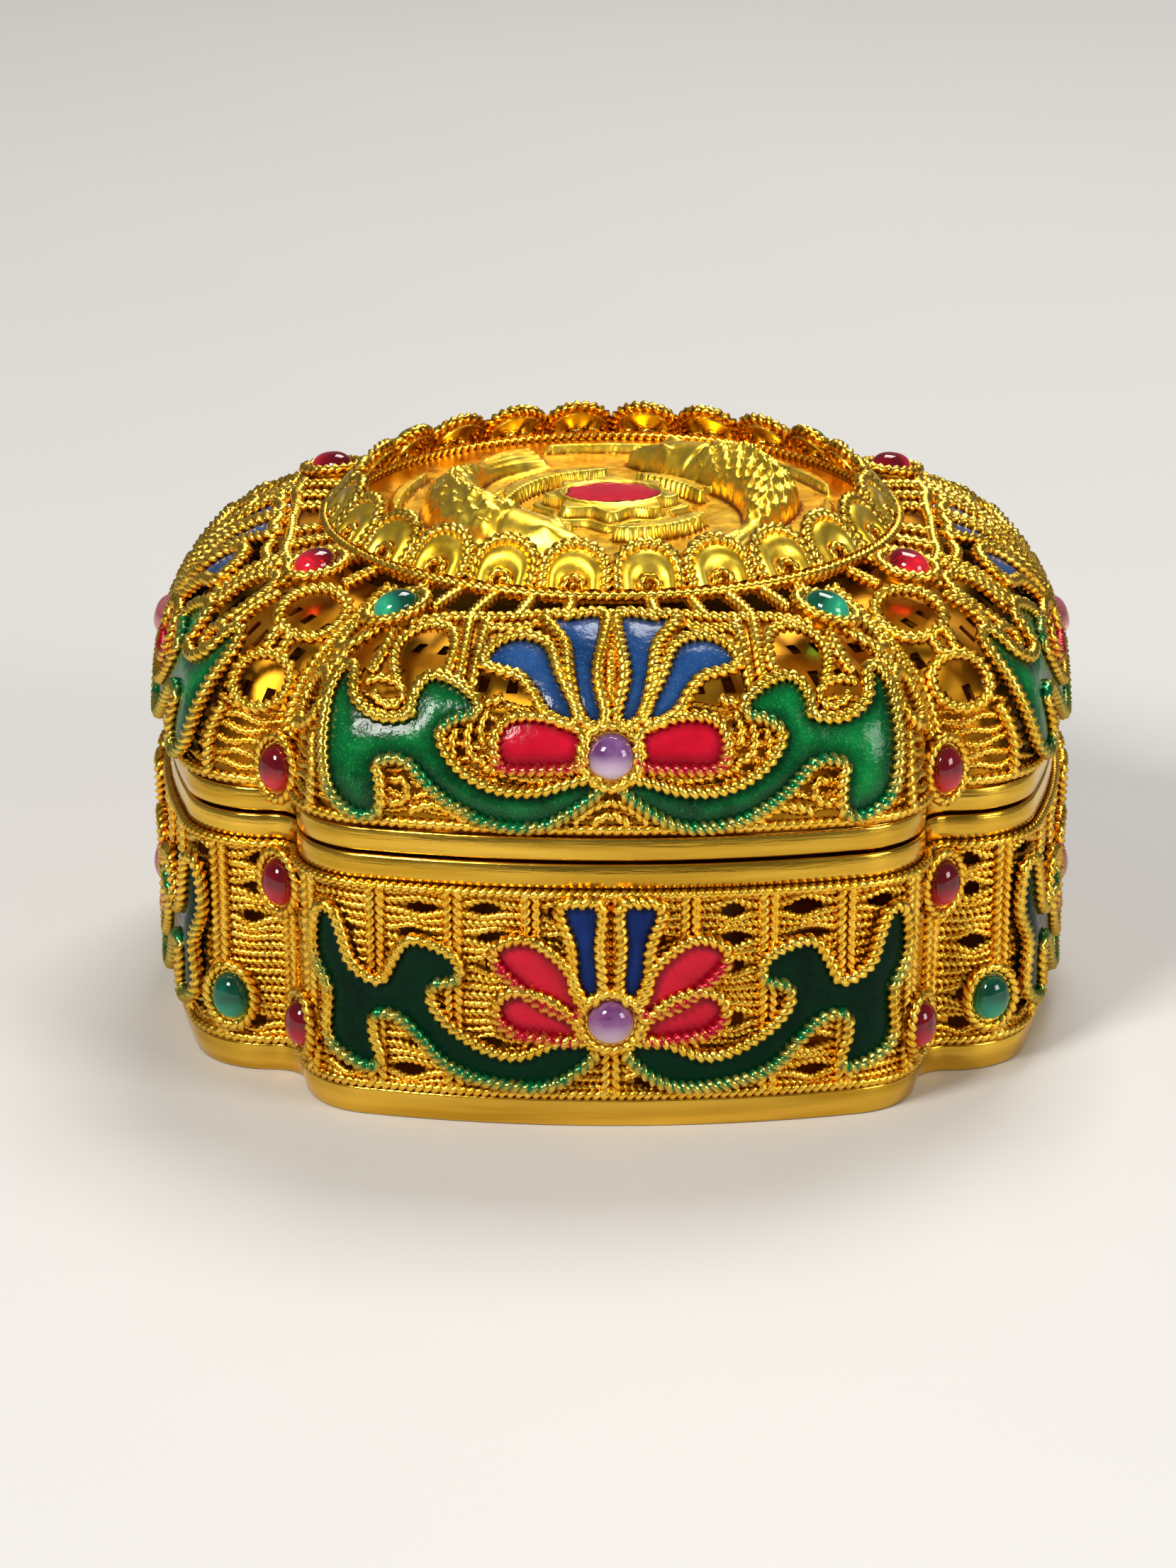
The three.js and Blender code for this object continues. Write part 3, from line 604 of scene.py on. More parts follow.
def widened(outline, offset):
    """A smooth loop round an outline, with the outward direction at each of its points."""
    loop, _ = spaced(spline(outline, True), LOOP_STEP, True)
    ahead = unit(np.roll(loop, -2, 0) - np.roll(loop, 2, 0))
    area = (loop[:, 0] * np.roll(loop[:, 1], -1) - np.roll(loop[:, 0], -1) * loop[:, 1]).sum()
    out = np.stack([ahead[:, 1], -ahead[:, 0]], -1) * math.copysign(1, area)
    moved = loop + out * offset
    within, distance = inside(moved, loop)
    good = ~within & (distance > offset * 0.93)
    moved, out = moved[good], out[good]
    if area < 0:
        moved, out = moved[::-1], out[::-1]
    for _ in range(2):
        moved = 0.25 * np.roll(moved, 1, 0) + 0.5 * moved + 0.25 * np.roll(moved, -1, 0)
    return moved, out


def enamel_cell(shape, surface, outline, side):
    """One cell of enamel: a slightly crowned sheet, with a skirt down to the wall."""
    loop, _ = spaced(widened(outline, ENAMEL_OFFSET)[0], CELL_STEP, True)
    low, high = loop.min(0), loop.max(0)
    steps = (np.arange(low[k], high[k], CELL_STEP) for k in (0, 1))
    grid = np.stack(np.meshgrid(*steps), -1).reshape(-1, 2)
    within, distance = inside(grid, loop)
    grid = grid[within & (distance > CELL_MARGIN)]
    count = len(loop)
    edges = [(i, (i + 1) % count) for i in range(count)]
    flat = [Vector(p) for p in np.concatenate([loop, grid]).tolist()]
    verts, _, faces, _, _, _ = delaunay_2d_cdt(flat, edges, [], 1, 1e-6)
    places = np.array([tuple(v) for v in verts])
    _, distance = inside(places, loop)
    height = ENAMEL_EDGE + ENAMEL_CROWN * (1 - np.exp(-(distance / CROWN_EASE) ** 2))
    top = raised(surface, side * places[:, 0], places[:, 1], height)
    # Painted shade near the wires: the tone is low within a reach of them; it is also lower towards the
    # cell's bottom, and lowest on the skirt.
    darker_low = ENAMEL_LOW_TONE + (1 - ENAMEL_LOW_TONE) * (places[:, 1] - low[1]) / (high[1] - low[1])
    shape.add(top, np.array(faces)[:, ::side], np.clip(distance / ENAMEL_REACH, 0, 1) * darker_low)
    s, t = (side * loop[:, 0])[::side], loop[::side, 1]
    skirt = [raised(surface, s, t, h) for h in (ENAMEL_FOOT, ENAMEL_EDGE)]
    shape.add_grid(np.stack(skirt), 0.0, closed=True)


RUN_ON = {"green": (0.1, 0.85), "red": (0.15, 1.1), "blue": (0.0, 0.0)}


def cell_wire(shape, surface, outline, colour, side):
    """The wire round one cell; enamel has run on to its lower edge."""
    loop, out = widened(outline, WIRE_OFFSET)
    s, t = side * loop[:, 0], loop[:, 1]
    everywhere, below = RUN_ON[colour]
    stain = everywhere + below * np.clip(-RUN_BELOW * out[:, 1], 0, 1)
    points = raised(surface, s, t, WIRE_HEIGHT)
    rope(shape, points, normal_at(surface, s, t), closed=True, hand=side, stain=stain, inner=-side)


WIRE_OF = {"green": GREEN_WIRE, "red": RED_WIRE, "blue": WIRE_GOLD}
LID_GLAZES = {"green": GREEN, "red": RED, "blue": BLUE}
BOX_GLAZES = {"green": DEEP_GREEN, "red": RED, "blue": DEEP_BLUE}
for part, surface, cells, glazes in (("lid", dome, LID_CELLS, LID_GLAZES),
                                     ("box", wall, BOX_CELLS, BOX_GLAZES)):
    for colour in WIRE_OF:
        wires, glaze = Shape(), Shape()
        for outline in (o for c, o in cells if c == colour):
            for side in BOTH:
                cell_wire(wires, surface, outline, colour, side)
                enamel_cell(glaze, surface, outline, side)
        for lobe, name in enumerate(LOBES):
            node = [f"{part}_motif_{name}"]
            place(wires, f"{part}_{colour}_wires_{name}", WIRE_OF[colour], node, lobe)
            place(glaze, f"{part}_{colour}_enamel_{name}", glazes[colour], node, lobe)


def stone(gem, holder, surface, s, t, seat, radius, tall):
    """A polished cabochon on its seat, and the bezel and wire that hold it."""
    foot = raised(surface, s, t, seat)
    up = normal_at(surface, s, t)
    across = unit(np.cross((0.0, 0.0, 1.0), up))
    along = np.cross(up, across)

    def circle(r, h, count=32):
        a = turns_of(count)
        r = r * radius
        return foot + np.cos(a)[:, None] * across * r + np.sin(a)[:, None] * along * r * tall + up * h

    rows = [circle(*STONE_FOOT)]
    for a in np.linspace(0, math.pi / 2, 11):
        rows.append(circle(math.cos(a) ** STONE_ROUND, STONE_HEIGHT * math.sin(a)))
    rows = np.stack(rows)
    # Painted light: the tone rises towards the stone's lower edge, where the stone's material paints the
    # light that gathers there.
    gem.add_grid(rows, 0.5 - 0.5 * ((rows - foot) @ along) / (radius * tall), closed=True)
    holder.add_grid(np.stack([circle(r, h) for r, h in BEZEL]), 0.7, closed=True)
    ring = circle(*COLLAR, 60)
    rope(holder, ring, np.tile(up, (len(ring), 1)), radius=COLLAR_RADIUS, closed=True)


STONE_COLOURS = {"front": ("amethyst", "emerald", "ruby"), "right": ("rose_stone", "ruby", "emerald")}
# Places (s, t) of the stones and the heights of their seats above the surface.
SHOULDERS = {"front": (19.2, 14.4), "right": (17.4, 15.6)}
LID_CENTRE = (0.0, 5.1)
BOX_CENTRE = (0.0, 7.6)
LID_VALLEY = (HALF_LOBE, 1.7)
BOX_VALLEY = (HALF_LOBE, 13.9)
BOX_CORNER = (21.2, 5.4)
CENTRE_SEAT = 0.55
VALLEY_SEAT = 0.95
SHOULDER_SEAT = 0.6
CORNER_SEAT = 0.5
holders = {"lid": Shape(), "box": Shape()}
for lobe, name in enumerate(LOBES):
    kind = "right" if lobe % 2 else "front"
    centre, shoulder, corner = STONE_COLOURS[kind]
    rows = [(f"lid_centre_{name}", dome, LID_CENTRE, 1, CENTRE_SEAT, centre),
            (f"box_centre_{name}", wall, BOX_CENTRE, 1, CENTRE_SEAT, centre),
            (f"lid_valley_{name}", dome, LID_VALLEY, 1, VALLEY_SEAT, "ruby"),
            (f"box_valley_{name}", wall, BOX_VALLEY, 1, VALLEY_SEAT, "ruby")]
    for letter, side in (("l", -1), ("r", 1)):
        rows.append((f"lid_shoulder_{name}_{letter}", dome, SHOULDERS[kind], side, SHOULDER_SEAT, shoulder))
        rows.append((f"box_corner_{name}_{letter}", wall, BOX_CORNER, side, CORNER_SEAT, corner))
    for node, surface, (s, t), side, seat, colour in rows:
        gem, holder = Shape(), Shape()
        radius, tall = (STONE_RADIUS, 1.0) if "centre" in node else (OVAL_RADIUS, OVAL_TALL)
        stone(gem, holder, surface, side * s, t, seat, radius, tall)
        place(gem, f"{node}_stone", STONES[colour], [node], lobe)
        holders[node[:3]].join(holder, lobe)
place(holders["lid"], "lid_collars", WIRE_GOLD, ["lid_dome"])
place(holders["box"], "box_collars", WIRE_GOLD, ["box_wall"])


# Round openings that the stones sit in, on the left half of a lobe: place and radius.
LID_HOLES = [(-LID_VALLEY[0], LID_VALLEY[1], 1.9), (*LID_CENTRE, 1.7)]
BOX_HOLES = [(-BOX_VALLEY[0], BOX_VALLEY[1], 1.6), (-BOX_CORNER[0], BOX_CORNER[1], 1.6), (*BOX_CENTRE, 1.7)]


def clear_runs(line, cells, holes, margin=0.25):
    """The stretches of a line that no enamel and no round opening hides."""
    folded = np.stack([-np.abs(line[:, 0]), line[:, 1]], -1)
    hidden = np.zeros(len(line), bool)
    for _, outline in cells:
        within, distance = inside(folded, spline(outline, True, 5))
        hidden |= within & (distance > margin)
    for s, t, radius in holes:
        hidden |= np.hypot(folded[:, 0] - s, folded[:, 1] - t) < radius
    edges = np.flatnonzero(np.diff(np.concatenate([[True], hidden, [True]]).astype(int)))
    return [line[a:b] for a, b in zip(edges[::2], edges[1::2]) if b - a > 4]


COLUMNS = 10
COLUMN_GAP = 0.7
COLUMN_PITCH = 2 * HALF_LOBE / COLUMNS
ROW_STEP = 0.62
WALL_LOW, WALL_HIGH = 2.2, 16.2
# Each row of slots in the wall: its height, and how likely a bay has a slot in it.
SLOT_ROWS = ((14.75, 0.9), (12.9, 0.85), (11.0, 0.4), (9.2, 0.5), (7.3, 0.3), (5.5, 0.4), (3.4, 0.6))
SLOT_FADE = 0.9
# How far a slot strays along its bay and from its row, its half width, and how far the wires part.
SLOT_STRAY = 0.6
SLOT_DRIFT = 0.25
SLOT_HALF = (0.75, 1.15)
SLOT_PART = (0.42, 0.7)
SLOT_MARGIN = 0.15
BACKING_DEPTH = 0.3
# Heights of the wires above the wall.
COLUMN_LIFT = 0.2
ROW_LIFT = -0.1
EDGE_LIFT = 0.22


def wall_slots(chance):
    """Slots between the wires of the wall: middle, height, half width and how far the wires part."""
    slots = []
    for height, likely in SLOT_ROWS:
        for k in range(COLUMNS):
            at = (k + 0.5 - COLUMNS / 2) * COLUMN_PITCH + chance.uniform(-SLOT_STRAY, SLOT_STRAY)
            drift = chance.uniform(-SLOT_DRIFT, SLOT_DRIFT)
            half = chance.uniform(*SLOT_HALF)
            part = chance.uniform(*SLOT_PART)
            if chance.uniform() < likely:
                slots.append((at, height + drift, half, part))
    return slots


def box_openwork(slots):
    """Upright pairs of wires twisted opposite ways; stacked fine wires between them part in slots."""
    shape = Shape()
    heights = np.linspace(WALL_LOW, WALL_HIGH, 60)
    for k in range(COLUMNS):
        for hand in BOTH:
            at = (k - COLUMNS / 2) * COLUMN_PITCH + hand * COLUMN_GAP / 2
            line = np.stack([0 * heights + at, heights], -1)
            for run in clear_runs(line, BOX_CELLS, BOX_HOLES):
                rope_on(shape, wall, run, COLUMN_LIFT, per_span=1, hand=hand, radius=FRAME_RADIUS)
    s = np.linspace(-HALF_LOBE, HALF_LOBE, 40 * COLUMNS + 1)
    for row, level in enumerate(np.arange(WALL_LOW + 0.5, WALL_HIGH, ROW_STEP)):
        bend = np.zeros_like(s)
        for at, height, half, part in slots:
            push = part * np.exp(-abs(level - height) / SLOT_FADE)
            bend += math.copysign(push, level - height) * np.exp(-((s - at) / half) ** 2)
        line = np.stack([s, np.clip(level + bend, WALL_LOW, WALL_HIGH)], -1)
        for run in clear_runs(line, BOX_CELLS, BOX_HOLES):
            rope_on(shape, wall, run, ROW_LIFT, per_span=1, hand=1 if row % 2 else -1, **FINE)
    for level in (WALL_LOW + 0.15, WALL_HIGH - 0.1):
        line = np.stack([s, 0 * s + level], -1)
        rope_on(shape, wall, line, EDGE_LIFT, per_span=1, **EDGE)
    return shape


def pierced_sheet(shape, surface, s, t, solid, depth, tone, order=1):
    """A sheet behind a surface, with faces only where it is solid."""
    first = (np.arange(len(t) - 1)[:, None] * len(s) + np.arange(len(s) - 1))[solid]
    faces = np.stack([first, first + 1, first + len(s) + 1, first + len(s)], -1)
    grid_s, grid_t = np.meshgrid(s, t)
    shape.add(raised(surface, grid_s, grid_t, -depth), faces[:, ::order], tone)


def box_backing(slots):
    """The sheet the fine wires are soldered to, open where they part."""
    shape = Shape()
    s, t = np.linspace(-HALF_LOBE, HALF_LOBE, 101), np.linspace(WALL_LOW - 0.1, WALL_HIGH + 0.1, 41)
    middle_s, middle_t = np.meshgrid((s[:-1] + s[1:]) / 2, (t[:-1] + t[1:]) / 2)
    solid = np.ones(middle_s.shape, bool)
    for at, height, half, part in slots:
        solid &= np.hypot((middle_s - at) / half, (middle_t - height) / (part + SLOT_MARGIN)) > 1
    # Painted shade: a low tone darkens the backing further.
    pierced_sheet(shape, wall, s, t, solid, BACKING_DEPTH, 0.5)
    return shape


for lobe, name in enumerate(LOBES):
    slots = wall_slots(np.random.default_rng(lobe))
    place(box_openwork(slots), f"box_openwork_{name}", WIRE_GOLD, ["box_wall"], lobe)
    place(box_backing(slots), f"box_backing_{name}", LINER_SHADE_GOLD, ["box_wall"], lobe)


# Wires of the lid: lines on the left half of a lobe, and scrolls of thinner wire.
LID_LINES = [
    [(-25.0, 3.9), (-25.0, 8.0), (-25.0, 12.0), (-25.0, 15.0), (-24.9, 17.4)],
    [(-19.8, 0.4), (-19.7, 3.0), (-20.3, 5.3)],
    [(-21.3, 9.5), (-21.0, 10.4), (-20.9, 11.2)],
    [(-22.2, 9.5), (-22.2, 10.4), (-22.0, 11.0)],
    [(-18.0, 13.0), (-17.4, 11.3), (-17.4, 9.6)],
    [(-15.2, 9.2), (-16.5, 11.1), (-16.6, 12.6), (-15.4, 13.7), (-13.4, 13.4), (-12.2, 12.1),
     (-11.9, 10.4), (-12.0, 9.4)],
    [(-12.7, 15.0), (-11.6, 12.6), (-11.0, 10.6), (-10.8, 9.2)],
    [(-11.0, 15.0), (-10.3, 12.4), (-9.9, 10.2), (-9.8, 8.5)],
    [(-17.2, 13.7), (-15.0, 14.4), (-13.0, 14.8), (-9.7, 15.1), (-6.7, 15.7), (-3.0, 16.0), (0.0, 16.0)],
    [(-10.8, 13.9), (-7.9, 14.0), (-6.2, 14.6)],
    [(-9.9, 8.6), (-8.6, 8.3), (-7.4, 8.6)],
    [(-8.2, 4.3), (-6.6, 3.9), (-5.0, 3.6), (-3.5, 3.7), (-2.2, 4.0)],
    [(0.0, 8.0), (0.0, 10.4), (0.0, 12.8), (0.0, 15.9)],
    [(-4.2, 15.9), (-4.2, 18.5)],
    [(-8.5, 15.3), (-8.5, 18.5)],
    [(-12.7, 15.0), (-12.7, 18.5)],
    [(-16.6, 15.2), (-16.9, 18.5)],
    [(-21.2, 15.8), (-21.2, 18.5)],
]
LID_SCROLLS = [
    [(-10.3, 6.6), (-10.4, 5.4), (-9.8, 4.3), (-8.6, 3.5), (-7.2, 3.4)],
    [(-9.4, 7.0), (-9.4, 5.8), (-8.9, 4.9), (-8.0, 4.5)],
    [(-8.4, 7.8), (-8.6, 6.6), (-8.2, 5.6)],
    [(-14.9, 3.8), (-14.9, 3.0), (-14.5, 2.0), (-13.7, 1.7), (-13.0, 2.3), (-13.3, 3.2), (-14.1, 3.1)],
    [(-17.4, 8.9), (-16.6, 9.3), (-15.2, 9.1), (-14.4, 8.4), (-14.8, 7.6), (-16.0, 7.9), (-16.6, 8.4)],
    [(-12.9, 1.2), (-11.6, 1.7), (-10.4, 1.5), (-9.1, 0.8)],
    [(-2.4, 0.9), (-1.2, 1.9), (0.0, 2.3)],
    [(-1.2, 0.8), (-0.5, 1.3), (0.0, 1.4)],
]
LID_RINGS = [(-22.2, 7.5, 1.9, 1.9), (-21.9, 13.1, 2.4, 2.0)]
LADDER_BOTTOM = 1.3
LADDER_TOP = 8.6
LADDER_STEP = 0.86
LADDER_WAVE = 0.16
LADDER_LIFT = -0.12
RING_LIFT = 0.35
# Wires of one kind: their lines, their radius, their height above the dome.
LID_WIRES = ((LID_LINES, 0.5, 0.25), (LID_SCROLLS, 0.4, 0.3))


def lid_openwork():
    """Ropes round the windows of the dome, with a ladder of fine wires behind the leaves."""
    shape = Shape()
    for lines, radius, lift in LID_WIRES:
        for line in lines:
            rope_on(shape, dome, line, lift, mirror=BOTH, radius=radius)
    turn = turns_of(12)
    for s, t, wide, tall in LID_RINGS:
        ring = np.stack([s + wide * np.cos(turn), t + tall * np.sin(turn)], -1)
        rope_on(shape, dome, ring, RING_LIFT, mirror=BOTH, closed=True)
    s = np.linspace(-HALF_LOBE, HALF_LOBE, 401)
    windows = LID_HOLES + [(s0, t0, max(wide, tall)) for s0, t0, wide, tall in LID_RINGS]
    for level in np.arange(LADDER_BOTTOM, LADDER_TOP, LADDER_STEP):
        line = np.stack([s, level + LADDER_WAVE * np.sin(s * 1.9 + level * 5)], -1)
        for run in clear_runs(line, LID_CELLS, windows):
            rope_on(shape, dome, run, LADDER_LIFT, per_span=1, **FINE)
    for level, lift in ((0.45, 0.2), (DOME_LENGTH - 0.3, 0.3)):
        rope_on(shape, dome, np.stack([s, 0 * s + level], -1), lift, per_span=1, radius=FRAME_RADIUS)
    return shape


LINER_DEPTH = 1.5
LINER_THICK = 0.4
SLOT_BANDS = ((5.9, 7.4), (9.8, 11.3), (13.0, 14.0))
SLOT_PITCH = 2.3
SLOT_WIDTH = 0.85


def lid_liner():
    """The smooth sheet behind the wires, with rows of upright slots."""
    shape = Shape()
    count = int(round(2 * HALF_LOBE / SLOT_PITCH))
    pitch = 2 * HALF_LOBE / count
    steps = np.array([0, 0.5, 1.0]) * (pitch - SLOT_WIDTH)
    s = np.concatenate([-HALF_LOBE + k * pitch + steps for k in range(count)] + [[HALF_LOBE]])
    t = np.unique(np.concatenate([np.linspace(0, DOME_LENGTH, 14), np.ravel(SLOT_BANDS)]))
    middle = (t[:-1] + t[1:]) / 2
    slotted = np.any([(low <= middle) & (middle <= high) for low, high in SLOT_BANDS], axis=0)
    solid = ~(slotted[:, None] & (np.arange(len(s) - 1) % 3 == 2))
    for depth, order in ((LINER_DEPTH, 1), (LINER_DEPTH + LINER_THICK, -1)):
        pierced_sheet(shape, dome, s, t, solid, depth, 0.8, order)
    return shape


lid_wires, liner = lid_openwork(), lid_liner()
for lobe, name in enumerate(LOBES):
    place(lid_wires, f"lid_openwork_{name}", WIRE_GOLD, ["lid_dome"], lobe)
    place(liner, f"lid_liner_{name}", LINER_SHADE_GOLD, ["lid_dome"], lobe)


ARCHES = 24
ARCH_FOOT = np.array([18.9, 32.8])
ARCH_HEAD = np.array([16.6, 35.6])
ARCH_HALF = 2.05
ARCH_HEIGHT = 3.3
HOLE_HALF = 0.62
HOLE_HEIGHT = 0.95
ARCH_BULGE = 0.55
ARCH_BACK = -0.5
# The two rings of wire at the gallery's foot: radius and height.
GALLERY_RINGS = ((19.4, 32.6), (18.2, 33.0))


def on_gallery(turn, across, up, out):
    """Places on one leaning arch of the gallery."""
    lean = unit(ARCH_HEAD - ARCH_FOOT)
    radius = ARCH_FOOT[0] + lean[0] * up + lean[1] * out
    angle = turn + across / (ARCH_FOOT[0] + lean[0] * up)
    z = ARCH_FOOT[1] + lean[1] * up - lean[0] * out
    return np.stack([radius * np.cos(angle), radius * np.sin(angle), z], -1)


def arch_line(half, height, count=22):
    """A round-headed arch from foot to foot, as (across, up)."""
    angle = np.linspace(math.pi, 0, count)
    straight = max(height - half, 0.0)
    head = np.stack([half * np.cos(angle), straight + (height - straight) * np.sin(angle)], -1)
    return np.concatenate([[[-half, 0.0]], head, [[half, 0.0]]])


def gallery():
    """Leaning arches of smooth plate, each with a hole at its foot, and the wires that edge them."""
    shape, wires = Shape(), Shape()
    outer, inner = arch_line(ARCH_HALF, ARCH_HEIGHT), arch_line(HOLE_HALF, HOLE_HEIGHT)
    for k in range(ARCHES):
        turn = (k + 0.5) / ARCHES * 2 * math.pi - math.pi / 2
        rows = []
        for share in np.linspace(0, 1, 7):
            across, up = (inner + (outer - inner) * share).T
            rows.append(on_gallery(turn, across, up, ARCH_BULGE * math.sin(math.pi * share)))
        rows.append(on_gallery(turn, *outer.T, ARCH_BACK))
        shape.add_grid(np.stack(rows), 0.95)
        for line, out, radius in ((outer, 0.1, ROPE_RADIUS), (inner, 0.25, HOLE_WIRE_RADIUS)):
            points = on_gallery(turn, *line.T, out)
            ups = unit(on_gallery(turn, *line.T, out + 1) - points)
            rope(wires, points, ups, radius=radius, hand=(-1) ** k, faces=SIDES)
    for radius, z in GALLERY_RINGS:
        points = ring_at(radius, z, 240)
        rope(wires, points, np.tile((0.0, 0.0, 1.0), (len(points), 1)), radius=FRAME_RADIUS, closed=True)
    return shape, wires


plates, arch_wires = gallery()
place(plates, "gallery_plates", CAST_GOLD, ["gallery"])
place(arch_wires, "gallery_wires", WIRE_GOLD, ["gallery"])


# The medallion: two carp chasing each other round a flower, with raised wave crests between them.
PLATE_TOP = 32.76
PLATE_RADIUS = 17.8
PLATE_BOTTOM = 32.1
CARP_RADIUS = 10.4
CARP_START = 112.0
CARP_SWEEP = 152.0
CARP_WIDTH = 2.6
CARP_HEIGHT = 2.5
CARP_SHARE = [0, 0.04, 0.12, 0.22, 0.36, 0.52, 0.66, 0.76, 0.84, 0.93, 1.0]
CARP_BREADTH = [0.2, 0.5, 0.78, 0.95, 1.0, 0.85, 0.58, 0.36, 0.42, 0.75, 1.0]
CARP_TALL = [0.35, 0.6, 0.85, 1.0, 1.0, 0.88, 0.66, 0.5, 0.42, 0.34, 0.2]
CARP_SHIFT = [0.9, 0.7, 0.2, 0, 0.1, 0.2, 0.3, 0.8, 1.5, 2.6, 3.6]
# Shares of a carp's length from its mouth: eye, gill, first and last scales, tail, comb on its back.
EYE_AT = 0.1
GILL_AT = 0.23
SCALES_FROM = (0.23, 0.25)
SCALES_TO = (0.76, 0.8)
TAIL_FROM = (0.8, 0.86)
COMB_FROM = (0.3, 0.36)
COMB_TO = (0.6, 0.72)
TAIL_RAYS = 17
FIN_AT = 6.4
FIN_LENGTH = 2.4
FIN_RAYS = 15
FIN_SPREAD = (0.45, 1.45)
SCALE_LENGTH = 0.95
SCALE_WIDTH = 1.15
SCALE_HEIGHT = 0.42
RAY_HEIGHT = 0.14
GILL_DEPTH = 0.3
EYE_HEIGHT = 0.5
COMB_HEIGHT = 0.55
FLOWER_RADIUS = 4.3
FLOWER_HEIGHT = 1.2
FLOWER_PETALS = 8
PETAL_DEPTH = 0.5
PLAQUE_HALF = (3.2, 2.5)
PLAQUE_LIFT = 0.1
PLAQUE_CROWN = 0.14
LIP_HALF = (3.45, 2.75)
LIP_HEIGHT = 0.22
# Each crest: middle radius, start and end in degrees, half width, height.
CRESTS = [(7.0, 92, 182, 0.8, 1.0), (8.2, 100, 165, 0.45, 0.5), (7.0, 270, 332, 0.8, 1.0),
          (6.3, 195, 245, 0.6, 0.8), (6.4, 15, 75, 0.7, 0.9), (7.7, 30, 62, 0.45, 0.5),
          (14.6, 150, 185, 0.5, 0.6), (15.3, 195, 232, 0.5, 0.6), (14.6, 330, 5, 0.5, 0.6),
          (15.3, 15, 52, 0.5, 0.6), (14.8, 72, 108, 0.5, 0.6), (14.6, 262, 286, 0.5, 0.6)]


def smooth_step(low, high, value):
    u = np.clip((value - low) / (high - low), 0, 1)
    return u * u * (3 - 2 * u)


def scale_height(run, off):
    """Rounded scales in staggered rows, each lapping over the next one towards the tail."""
    u = run / SCALE_LENGTH
    height = np.zeros_like(u)
    for step in (1, 0, -1):
        row = np.floor(u) + step
        w = (off / SCALE_WIDTH + 0.5 * (row % 2) + 0.5) % 1 - 0.5
        reach = np.hypot((u - row) / 1.25, w / 0.58)
        height = np.where((reach < 1) & (u > row - 0.1), 0.05 + SCALE_HEIGHT * reach ** 1.5, height)
    return height


def carp_height(radius, angle):
    """Height of the two carp above the plate, with their scales, fins and heads."""
    total = np.zeros_like(radius)
    for start in (CARP_START, CARP_START + 180):
        share = 1 - ((np.degrees(angle) - start) % 360) / CARP_SWEEP
        on = share >= 0
        share = np.clip(share, 0, 1)
        breadth = np.interp(share, CARP_SHARE, CARP_BREADTH) * CARP_WIDTH
        tall = np.interp(share, CARP_SHARE, CARP_TALL) * CARP_HEIGHT
        off = radius - CARP_RADIUS - np.interp(share, CARP_SHARE, CARP_SHIFT)
        v = off / breadth
        body = tall * np.sqrt(np.clip(1 - v ** 2, 0, 1))
        run = share * math.radians(CARP_SWEEP) * CARP_RADIUS
        scaled = smooth_step(*SCALES_FROM, share) * (1 - smooth_step(*SCALES_TO, share))
        detail = scale_height(run, breadth * np.arcsin(np.clip(v, -1, 1))) * scaled
        detail += RAY_HEIGHT * np.cos(v * TAIL_RAYS) * smooth_step(*TAIL_FROM, share)
        detail -= GILL_DEPTH * np.exp(-((share - GILL_AT + 0.03 * v ** 2) / 0.008) ** 2)
        eye = ((share - EYE_AT) * 27) ** 2 + ((np.abs(v) - 0.55) * 4.6) ** 2
        detail += EYE_HEIGHT * np.exp(-eye * 2.4)
        comb = np.exp(-((off - 0.1 * breadth) / 0.28) ** 2) * smooth_step(*COMB_FROM, share)
        comb *= (1 - smooth_step(*COMB_TO, share)) * (0.75 + 0.25 * np.cos(run * 8))
        detail += COMB_HEIGHT * comb
        fish = np.where(np.abs(v) < 1, body + detail * np.clip(body, 0, 1), 0)
        a, b = run - FIN_AT, np.abs(off) - 0.8 * breadth
        ray, length = np.arctan2(a, b), np.hypot(a, b)
        within = (length < FIN_LENGTH) & (ray > FIN_SPREAD[0]) & (ray < FIN_SPREAD[1])
        fin = (0.62 - 0.12 * length + 0.09 * np.cos(ray * FIN_RAYS)) * within
        total = np.maximum(total, np.where(on, np.maximum(fish, fin), 0))
    return total


def crest_height(radius, angle):
    """Raised curved bars with fluted sides."""
    degrees = np.degrees(angle) % 360
    total = np.zeros_like(radius)
    for middle, start, end, half, height in CRESTS:
        along = (degrees - start) % 360
        length = (end - start) % 360
        share = np.clip(along / length, 0, 1)
        width = half * np.sin(math.pi * share) ** 0.35 * (1 + 0.13 * np.cos(along * middle * 0.2))
        bar = height * (1 - smooth_step(0.75, 1.0, np.abs(radius - middle) / np.maximum(width, 1e-3)))
        total = np.maximum(total, np.where(along < length, bar, 0))
    return total


